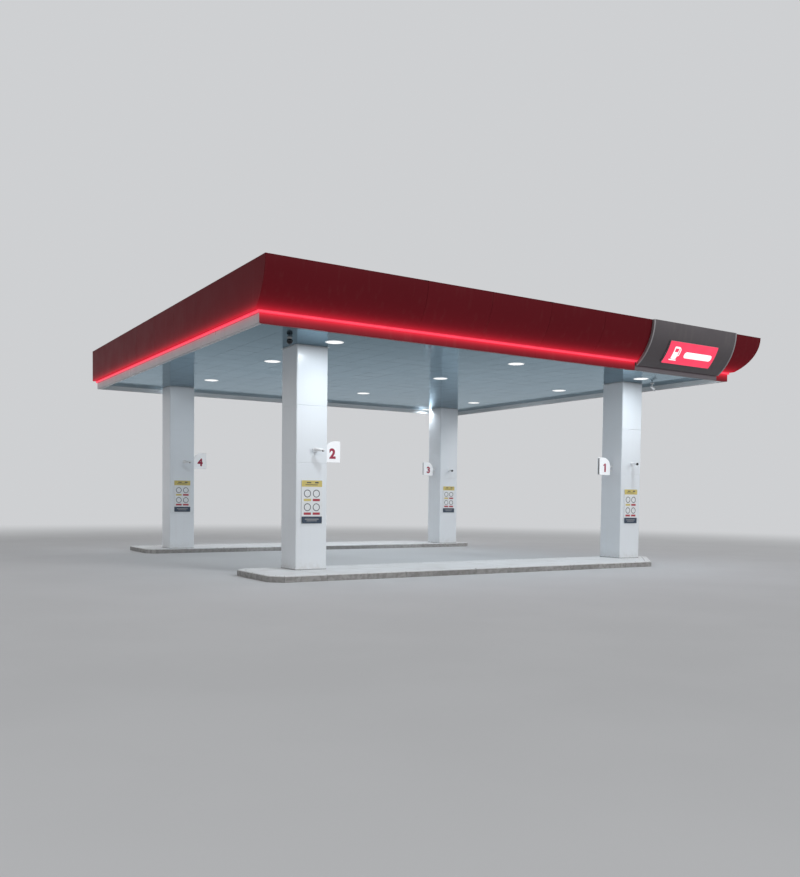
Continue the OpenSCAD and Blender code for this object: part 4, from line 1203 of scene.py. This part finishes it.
class CANOPY_OT_sign(CanopyPiece, bpy.types.Operator):
    """Sign panel bent over the fascia, its lit red box, a plain pump figure and a white bar"""
    bl_idname = "canopy.sign"
    bl_label = "Sign"

    def execute(self, context):
        low, high = SIGN
        lit_low, lit_high = span("sign_lit_box")
        radius, face = sign_radii()
        turn = np.linspace(0, math.asin((TOP_Z - low[2] - 0.008) / face), 30)
        drop = face * np.sin(turn)
        outer = np.column_stack([radius - face * np.cos(turn), TOP_Z - drop])
        under = radius - np.sqrt(np.maximum(radius ** 2 - drop ** 2, 0))
        inner = np.column_stack([np.minimum(under, STRIP[0][1] - ROOF[0][1]), TOP_Z - drop])
        section = np.vstack([outer, inner[::-1]]) + (ROOF[0][1], 0)
        outward = np.vstack([(outer - (radius, TOP_Z)) / face, 0 * inner])

        def length_of(start, end, grow=0.0):
            rim = section + outward * grow
            return skin([np.column_stack([np.full(len(rim), x), rim]) for x in (start, end)])

        edge, gap, proud = 0.045, 0.002, 0.003
        add_piece("sign_face", [
            (length_of(low[0] + edge, high[0] - edge), "sign"),
            (length_of(low[0], low[0] + edge - gap, proud), "sign_edge"),
            (length_of(high[0] - edge + gap, high[0], proud), "sign_edge")],
            ["sign_panel"], 0.006, 3)

        reach = math.hypot(ROOF[0][1] + radius - lit_low[1], TOP_Z - lit_high[2]) - face
        up = [-face * math.asin((TOP_Z - z) / (face + reach)) for z in (lit_low[2], lit_high[2])]
        middle = ((lit_low[0] + lit_high[0]) / 2, sum(up) / 2)
        width, height, rim = lit_high[0] - lit_low[0], up[1] - up[0], 0.012
        tray = round_plate(middle, width, height, 0.02, 0.0, reach - 0.008, 12)
        glass = round_plate(
            middle, width - rim, height - rim, 0.015, reach - 0.02, reach - 0.001, 12)
        add_piece("sign_light_box", [(bent(tray), "sign_edge"), (bent(glass), "sign_lit")],
                  ["sign_lit_box"], 0.003)

        # The pump's body, foot, hose and window, and the bar beside it
        x, y = middle[0] - 0.56, middle[1]
        levels = (reach - 0.002, reach + 0.006)
        hose = folded([(x + 0.08, y - 0.05), (x + 0.128, y - 0.05), (x + 0.128, y + 0.10),
                       (x + 0.092, y + 0.14)], 0.026, 5)
        white = [round_plate((x, y + 0.01), 0.17, 0.30, 0.022, *levels),
                 round_plate((x, y - 0.165), 0.24, 0.026, 0.006, *levels, 4),
                 tube(lifted(hose, levels[1]), 0.0095, 8),
                 round_plate((middle[0] + 0.24, y - 0.01), 0.98, 0.150, 0.070, *levels)]
        window = round_plate((x, y + 0.075), 0.115, 0.085, 0.010, reach, levels[1] + 0.003)
        add_piece("sign_figures", [*((bent(s), "sign_white") for s in white),
                                   (bent(window), "sign_lit")], bevel=0.0015)
        return {"FINISHED"}


def numeral_object(name, text, size, places):
    """Numerals from a text curve made a mesh, one at each place of (axes, position)."""
    curve = bpy.data.curves.new(name, "FONT")
    curve.body, curve.size, curve.extrude, curve.offset = text, size, 0.002, size * 0.045
    curve.bevel_depth, curve.bevel_resolution = 0.0006, 1
    curve.align_x, curve.align_y = "CENTER", "CENTER"
    holder = bpy.data.objects.new(name, curve)
    bpy.context.scene.collection.objects.link(holder)
    bpy.context.view_layer.update()
    flat = bpy.data.meshes.new_from_object(
        holder.evaluated_get(bpy.context.evaluated_depsgraph_get()))
    bpy.data.objects.remove(holder)
    points = points_of(flat)
    points -= (0, (points[:, 1].max() + points[:, 1].min()) / 2, 0)
    count, faces = len(points), [list(face.vertices) for face in flat.polygons]
    mesh = bpy.data.meshes.new(name)
    mesh.from_pydata(np.vstack([points @ axes + at for axes, at in places]).tolist(), [],
                     [[v + count * n for v in face] for n in range(len(places)) for face in faces])
    mesh.materials.append(FINISHES["numeral"])
    return bpy.data.objects.new(name, mesh)


def numeral_flag(size):
    """The slanted flag of the numeral 1, whose stroke is a plain bar: it rises to the bar's top.
    Each end is (x, lower edge, upper edge), in shares of the numeral's height."""
    back, front = -0.001, 0.0024
    return skin([[(size * x, size * y, z)
                  for y, z in ((low, back), (high, back), (high, front), (low, front))]
                 for x, low, high in ((-0.29, 0.20, 0.36), (-0.09, 0.33, 0.50))])


class CANOPY_OT_number_signs(CanopyPiece, bpy.types.Operator):
    """Number signs: two lit white faces on a dark frame, pins with flanges and numerals"""
    bl_idname = "canopy.number_signs"
    bl_label = "Number signs"

    def execute(self, context):
        size = context.scene.canopy_sizes.numeral
        gap, curve, face, lap, frame_in = 0.100, 0.240, 0.034, 0.001, 0.012
        pin_pitch, numeral_level, font_scale = 0.110, 0.415, 1.37
        flange = turned(
            [0.001, 0.036, 0.038, 0.038, 0.001], [0.006, 0.006, 0.004, 0.0, 0.0], 24).flipped()
        for number in (1, 2, 3, 4):
            low, high = span(f"number_sign_{number}")
            width, height, deep = high[0] - low[0] - gap, high[2] - low[2], (high[1] - low[1]) / 2
            way, column = (1, low[0]) if number in (2, 4) else (-1, high[0])
            at = (column, (low[1] + high[1]) / 2, low[2])

            def board(inset, back, front):
                """The board, brought in by an inset: its upper corner by the column is an arc."""
                turn, radius = np.linspace(0, np.pi / 2, 12), curve - inset
                rows = np.concatenate([[inset], height - curve + radius * np.sin(turn)])
                near = gap + inset + np.concatenate([[0], radius * (1 - np.cos(turn))])
                far = gap + width - inset
                edges = (near, far) if way > 0 else (-far, -near)
                return plate(rows, *edges, back, front).placed(FACING_FRONT, at)

            pins, flanges = [], []
            for rise in (height / 2 - pin_pitch, height / 2):
                z = low[2] + rise
                path = [(column + way * out, at[1], z) for out in (0.0, gap / 2, gap + 0.01)]
                pins.append(tube(path, 0.018, 16))
                flanges.append(flange.placed(along((way, 0, 0)), path[0]))
            middle = np.array(
                [column + way * (gap + width / 2), 0, low[2] + height * numeral_level])
            places = [(FACING_FRONT, middle + (0, low[1], 0)),
                      (FACING_REAR, middle + (0, high[1], 0))]
            flags = [(numeral_flag(size).placed(*place), "numeral")
                     for place in places if number == 1]
            add_piece(f"number_panel_{number}", [
                (board(frame_in, face - deep - lap, deep - face + lap), "frame"),
                (board(0.0, deep - face, deep), "number"),
                (board(0.0, -deep, face - deep), "number"),
                (joined(pins + flanges), "camera"), *flags],
                [f"number_sign_{number}"], 0.0013)
            settle(numeral_object(f"numeral_{number}", str(number), size * font_scale, places))
        return {"FINISHED"}


class CANOPY_OT_notice_boards(CanopyPiece, bpy.types.Operator):
    """Notice boards with a plain header, four rings over colour bars and a footer, and screws"""
    bl_idname = "canopy.notice_boards"
    bl_label = "Notice boards"

    def execute(self, context):
        points = points_of(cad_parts["notice_boards"].data)
        places = []
        for (low, high), middle in zip(COLUMNS, MIDDLES):
            own = points[(np.abs(points - middle) < high - low)[:, :2].all(1)]
            places.append((middle[0], low[1], (own[:, 2].min() + own[:, 2].max()) / 2))
        width, deep, height = own.max(0) - own.min(0)
        film, ink, top, margin = 0.0012, 0.0008, height / 2, 0.018
        proud = deep + film

        def strip(x, y, wide, tall, name, lift=0.0):
            return round_plate((x, y), wide, tall, 0.004, deep - 0.001, proud + lift, 4), name

        ring = turned([0.067, 0.083, 0.083, 0.067], [deep - 0.001, deep - 0.001, proud, proud], 40,
                      True)
        parts = [(round_plate((0, 0), width, height, 0.012, 0.0, deep, 4), "board"),
                 strip(0, top - 0.072, width - 0.006, 0.136, "yellow"),
                 strip(0, -top + 0.080, width - 0.006, 0.150, "blue"),
                 strip(-0.070, top - 0.052, 0.105, 0.024, "ink", ink),
                 strip(0.115, top - 0.050, 0.085, 0.030, "ink", ink),
                 strip(-0.010, top - 0.098, 0.290, 0.014, "ink", ink),
                 strip(0, -top + 0.098, 0.330, 0.016, "camera_grey", ink),
                 strip(0, -top + 0.062, 0.250, 0.012, "camera_grey", ink)]
        for x, y, bar in ((-0.106, 0.180, "yellow"), (0.106, 0.180, "board_red"),
                          (-0.106, -0.112, "board_red"), (0.106, -0.112, "board_red")):
            parts += [(ring.placed(at=(x, y, 0)), "ink"), strip(x, y - 0.137, 0.170, 0.050, bar)]
        screw = turned([0.006, 0.006, 0.004, 0.0005], [0.0, 0.0015, 0.003, 0.0034], 12)
        parts.append((screw.repeated([(x * (width / 2 - margin), y * (top - margin), proud)
                                      for x in (-1, 1) for y in (-1, 1)]), "metal"))
        coats = [coat for place in places for coat in put(parts, FACING_FRONT, place)]
        add_piece("column_notices", coats, ["notice_boards"])
        return {"FINISHED"}


def bullet_camera(at, out, aim):
    """A bullet camera's body and glass as coats: a round base, an arm out of the wall, a knuckle, a
    barrel along aim and its hood. The barrel's profile is turned, and the hood is an arc carried
    along it."""
    at, out, aim = (np.asarray(v, float) for v in (at, out, aim))
    reach, back, barrel, radius, ball = 0.120, 0.070, 0.210, 0.033, 0.024
    base = turned([0.001, 0.055, 0.055, 0.051, 0.024, 0.020, 0.001],
                  [0.0, 0.0, 0.012, 0.018, 0.018, 0.022, 0.022], 36)
    bolts = turned([0.005, 0.005, 0.0035, 0.0005], [0.018, 0.021, 0.022, 0.022], 8).repeated(
        [(0.038 * math.cos(a), 0.038 * math.sin(a), 0) for a in np.radians((30, 150, 270))])
    end = at + out * reach
    turn = np.linspace(0.02, np.pi - 0.02, 13)
    knuckle = turned(ball * np.sin(turn), -ball * np.cos(turn), 20)
    shell = turned(
        [0.001, 0.022, 0.030, radius, radius, 0.0335, 0.0335, 0.0355, 0.0355, 0.029, 0.028, 0.001],
        [0.0, 0.001, 0.006, 0.016, 0.060, 0.061, 0.170, 0.172, barrel, barrel, barrel - 0.008,
         barrel - 0.008], 32)
    sweep = np.radians(np.linspace(180, 360, 19))
    arc = np.concatenate([np.column_stack([r * np.cos(way), r * np.sin(way)])
                          for r, way in ((0.0388, sweep), (0.0362, sweep[::-1]))])
    hood = skin([lifted(arc, z) for z in (0.020, 0.120, barrel + 0.022)])
    glass = turned([0.001, 0.012, 0.020, 0.026, 0.026, 0.001],
                   [barrel + 0.005, barrel + 0.0035, barrel + 0.001, barrel - 0.002, barrel - 0.012,
                    barrel - 0.012], 28).flipped()
    bezel = turned([0.0262, 0.0352, 0.0358, 0.0352, 0.0262],
                   [barrel - 0.034, barrel - 0.034, barrel - 0.032, barrel + 0.003, barrel + 0.003],
                   28, True)
    arm = tube([at + out * 0.010, at + out * 0.060, end], 0.015, 16)
    axes, start = along(aim), end - aim * back
    body = [*put([(base, "camera"), (bolts, "metal")], along(out), at), (arm, "camera"),
            *put([(knuckle, "camera_grey")], axes, end),
            *put([(shell, "camera"), (hood, "camera"), (bezel, "dark")], axes, start)]
    return body, put([(glass, "glass")], axes, start)


class CANOPY_OT_cameras(CanopyPiece, bpy.types.Operator):
    """Bullet cameras on the columns and under the soffit, and a dome camera"""
    bl_idname = "canopy.cameras"
    bl_label = "Cameras"

    def execute(self, context):
        tilt, height = math.radians(6), 2.70
        bodies, glasses = [], []
        for (low, _), middle in zip(COLUMNS, MIDDLES):
            left = middle[0] < 0
            off, pan = (0.07, math.radians(-25)) if left else (0.03, math.radians(-115))
            aim = (math.cos(pan) * math.cos(tilt), math.sin(pan) * math.cos(tilt), -math.sin(tilt))
            body, glass = bullet_camera((middle[0] + off, low[1], height), (0, -1, 0), aim)
            bodies += body
            glasses += glass
        add_piece("column_camera_bodies", bodies, ["column_cameras"])

        slope = math.radians(-25)
        aim = (math.cos(slope) * math.cos(tilt), math.sin(tilt), math.sin(slope) * math.cos(tilt))
        x, y = MIDDLES[0][:2] + (0.480, -0.620)
        body, glass = bullet_camera((x, y, SOFFIT_Z), (0, 0, -1), aim)
        add_piece("soffit_bullet_body", body, ["soffit_camera_bullet"])
        add_piece("camera_lens_glass", glasses + glass, ["camera_lenses"])

        x, y = MIDDLES[1][:2] - (0.840, 1.020)
        turn = np.linspace(0.02, np.pi - 0.02, 25)
        ball, middle = 0.062, 0.088
        base = turned([0.001, 0.055, 0.055, 0.050, 0.040, 0.036, 0.001],
                      [0.0, 0.0, 0.014, 0.020, 0.022, 0.034, 0.034], 36)
        collar = turned(
            [0.001, 0.040, 0.046, 0.046, 0.001], [0.034, 0.034, 0.040, 0.046, 0.046], 36)
        dome = turned(ball * np.sin(turn), middle - ball * np.cos(turn), 40)
        seam = turned(
            [ball + 0.0008, ball + 0.0008, ball - 0.004], [0.085, middle, 0.0865], 40, True)
        # The base's grey is painted shade of a paler moulding; the collar's grey is its own
        coats = [(base, "camera_grey"), (collar, "camera_grey"), (dome, "dark"),
                 (seam, "camera_grey")]
        add_piece("soffit_dome_body", put(coats, along((0, 0, -1)), (x, y, SOFFIT_Z)),
                  ["soffit_camera_dome"])
        return {"FINISHED"}


def stage_floor(scene):
    """A round floor that faces up. Near the object it takes shadows, and further out it blends into
    the backdrop's colour."""
    count, pale = 96, scene.canopy_colours.pale
    radii = np.array([0.5, 4, 8, 12, 16, 20, 25, 30, 40, 55, 70, scene.canopy_stage.floor])
    disc = turned(radii, 0 * radii, count)
    quads = disc.quads[:count * (len(radii) - 1), ::-1]
    mesh = bpy.data.meshes.new("stage_floor")
    mesh.from_pydata(disc.points.tolist(), [], [*quads.tolist(), list(range(count))])
    floor = bpy.data.objects.new("stage_floor", mesh)
    scene.collection.objects.link(floor)
    material = bpy.data.materials.new("stage_floor")
    t = blank(material)
    away = t.add("VectorMath", {0: t.place()}, operation="LENGTH").outputs["Value"]
    cloudy = t.mix(t.fade(t.noise(0.5), 0.3, 0.7), pale, [0.97 * v for v in pale])
    near, far = t.add("BsdfDiffuse", {"Color": cloudy}), t.add("Emission", {"Color": pale})
    blend = t.add("MixShader", {
        0: t.fade(away, 16.0, 34.0), 1: near.outputs[0], 2: far.outputs[0]})
    t.add("OutputMaterial", {"Surface": blend.outputs[0]})
    mesh.materials.append(material)


def stage_world(scene):
    """Soft white light all round, and the backdrop's colour for the camera, gloss and glass."""
    scene.world = bpy.data.worlds.new("stage_light")
    t = blank(scene.world)
    rays = t.add("LightPath").outputs
    seen = t.math("MAXIMUM", rays["Is Glossy Ray"], rays["Is Transmission Ray"])
    seen = t.math("MAXIMUM", rays["Is Camera Ray"], seen)
    soft = t.add("Background", {"Color": (1, 1, 1), "Strength": scene.canopy_stage.sky})
    backdrop = t.add("Background", {"Color": scene.canopy_colours.pale, "Strength": 1.0})
    both = t.add("MixShader", {0: seen, 1: soft.outputs[0], 2: backdrop.outputs[0]})
    t.add("OutputWorld", {"Surface": both.outputs[0]})


def add_lamp(scene, name, kind, power):
    """A lamp's object, linked to the scene."""
    lamp = bpy.data.objects.new(name, bpy.data.lights.new(name, kind))
    lamp.data.energy = power
    scene.collection.objects.link(lamp)
    return lamp


def stage_lamps(context):
    """A soft key lamp, and one lamp under each downlight. The front row's lamps stand clear of the
    columns, and the rear row's have a narrower spread."""
    scene, stage, sizes = context.scene, context.scene.canopy_stage, context.scene.canopy_sizes
    front_step, drop = 0.5, 0.02
    key = add_lamp(scene, "key_lamp", "SUN", stage.key)
    key.data.angle = math.radians(24)
    key.rotation_euler = (math.radians(68), 0, math.radians(24))
    places = light_places(context)
    for n, (x, y, z) in enumerate(places):
        front, rear = y == places[0][1], y == places[-1][1]
        strong = front or x == sizes.light_middle
        lamp = add_lamp(scene, f"under_lamp_{n + 1}", "AREA",
                        stage.under_strong if strong else stage.under)
        lamp.data.shape, lamp.data.size = "DISK", 2 * sizes.lens
        lamp.data.spread = math.radians(150 if rear else 180)
        lamp.data.color = scene.canopy_colours.lamp
        lamp.location = (x, y - front_step * front, z - drop)


def stage_camera(scene):
    """The camera: it looks along its heading and tilt, and the picture turns about that line."""
    stage = scene.canopy_stage
    heading, tilt, roll = stage.heading, stage.tilt, stage.roll
    ahead = np.array([math.sin(heading) * math.cos(tilt), math.cos(heading) * math.cos(tilt),
                      math.sin(tilt)])
    level = np.array([math.cos(heading), -math.sin(heading), 0])
    upright = np.cross(level, ahead)
    right = math.cos(roll) * level + math.sin(roll) * upright
    up = math.cos(roll) * upright - math.sin(roll) * level
    view = bpy.data.objects.new("view", bpy.data.cameras.new("view"))
    view.data.lens, view.data.shift_y, view.data.clip_end = stage.lens, stage.rise, 400
    axes = np.eye(4)
    axes[:3, :3] = np.column_stack([right, up, -ahead])
    axes[:3, 3] = stage.place
    view.matrix_world = Matrix(axes)
    scene.collection.objects.link(view)
    scene.camera = view
    scene.view_settings.view_transform = "Standard"


class CANOPY_OT_stage(CanopyPiece, bpy.types.Operator):
    """Floor, backdrop, soft key lamp, lamps under the downlights, all-round light and camera"""
    bl_idname = "canopy.stage"
    bl_label = "Stage"

    def execute(self, context):
        stage_floor(context.scene)
        stage_world(context.scene)
        stage_lamps(context)
        stage_camera(context.scene)
        return {"FINISHED"}


class CANOPY_PT_panel(bpy.types.Panel):
    """Lists the canopy's settings and pieces in the sidebar"""
    bl_idname = "CANOPY_PT_panel"
    bl_label = "Filling station canopy"
    bl_space_type = "VIEW_3D"
    bl_region_type = "UI"
    bl_category = "Canopy"

    def draw(self, context):
        for name, group_class in GROUPS.items():
            section = self.layout.box()
            for key in group_class.__annotations__:
                section.prop(getattr(context.scene, name), key)
        column = self.layout.column(align=True)
        for operator in OPERATORS:
            column.operator(operator.bl_idname)


OPERATORS = (
    CANOPY_OT_stage, CANOPY_OT_islands, CANOPY_OT_columns, CANOPY_OT_steelwork, CANOPY_OT_roof,
    CANOPY_OT_soffit, CANOPY_OT_downlights, CANOPY_OT_fascia, CANOPY_OT_coping, CANOPY_OT_bands,
    CANOPY_OT_strips, CANOPY_OT_sign, CANOPY_OT_number_signs, CANOPY_OT_notice_boards,
    CANOPY_OT_cameras)
GROUPS = {
    "canopy_sizes": CanopySizes, "canopy_colours": CanopyColours, "canopy_stage": CanopyStage}
FINISHES = {}


def register():
    """Registers the settings, the operators and the panel."""
    for cls in (*GROUPS.values(), *OPERATORS, CANOPY_PT_panel):
        bpy.utils.register_class(cls)
    for name, cls in GROUPS.items():
        setattr(bpy.types.Scene, name, PointerProperty(type=cls))


def unregister():
    """Takes everything back out."""
    for name in GROUPS:
        delattr(bpy.types.Scene, name)
    for cls in (CANOPY_PT_panel, *reversed(OPERATORS), *GROUPS.values()):
        bpy.utils.unregister_class(cls)


def main():
    register()
    make_groups()
    FINISHES.update(finishes())
    for operator in OPERATORS:
        getattr(bpy.ops.canopy, operator.bl_idname.split(".")[1])()


if __name__ == "__main__":
    main()
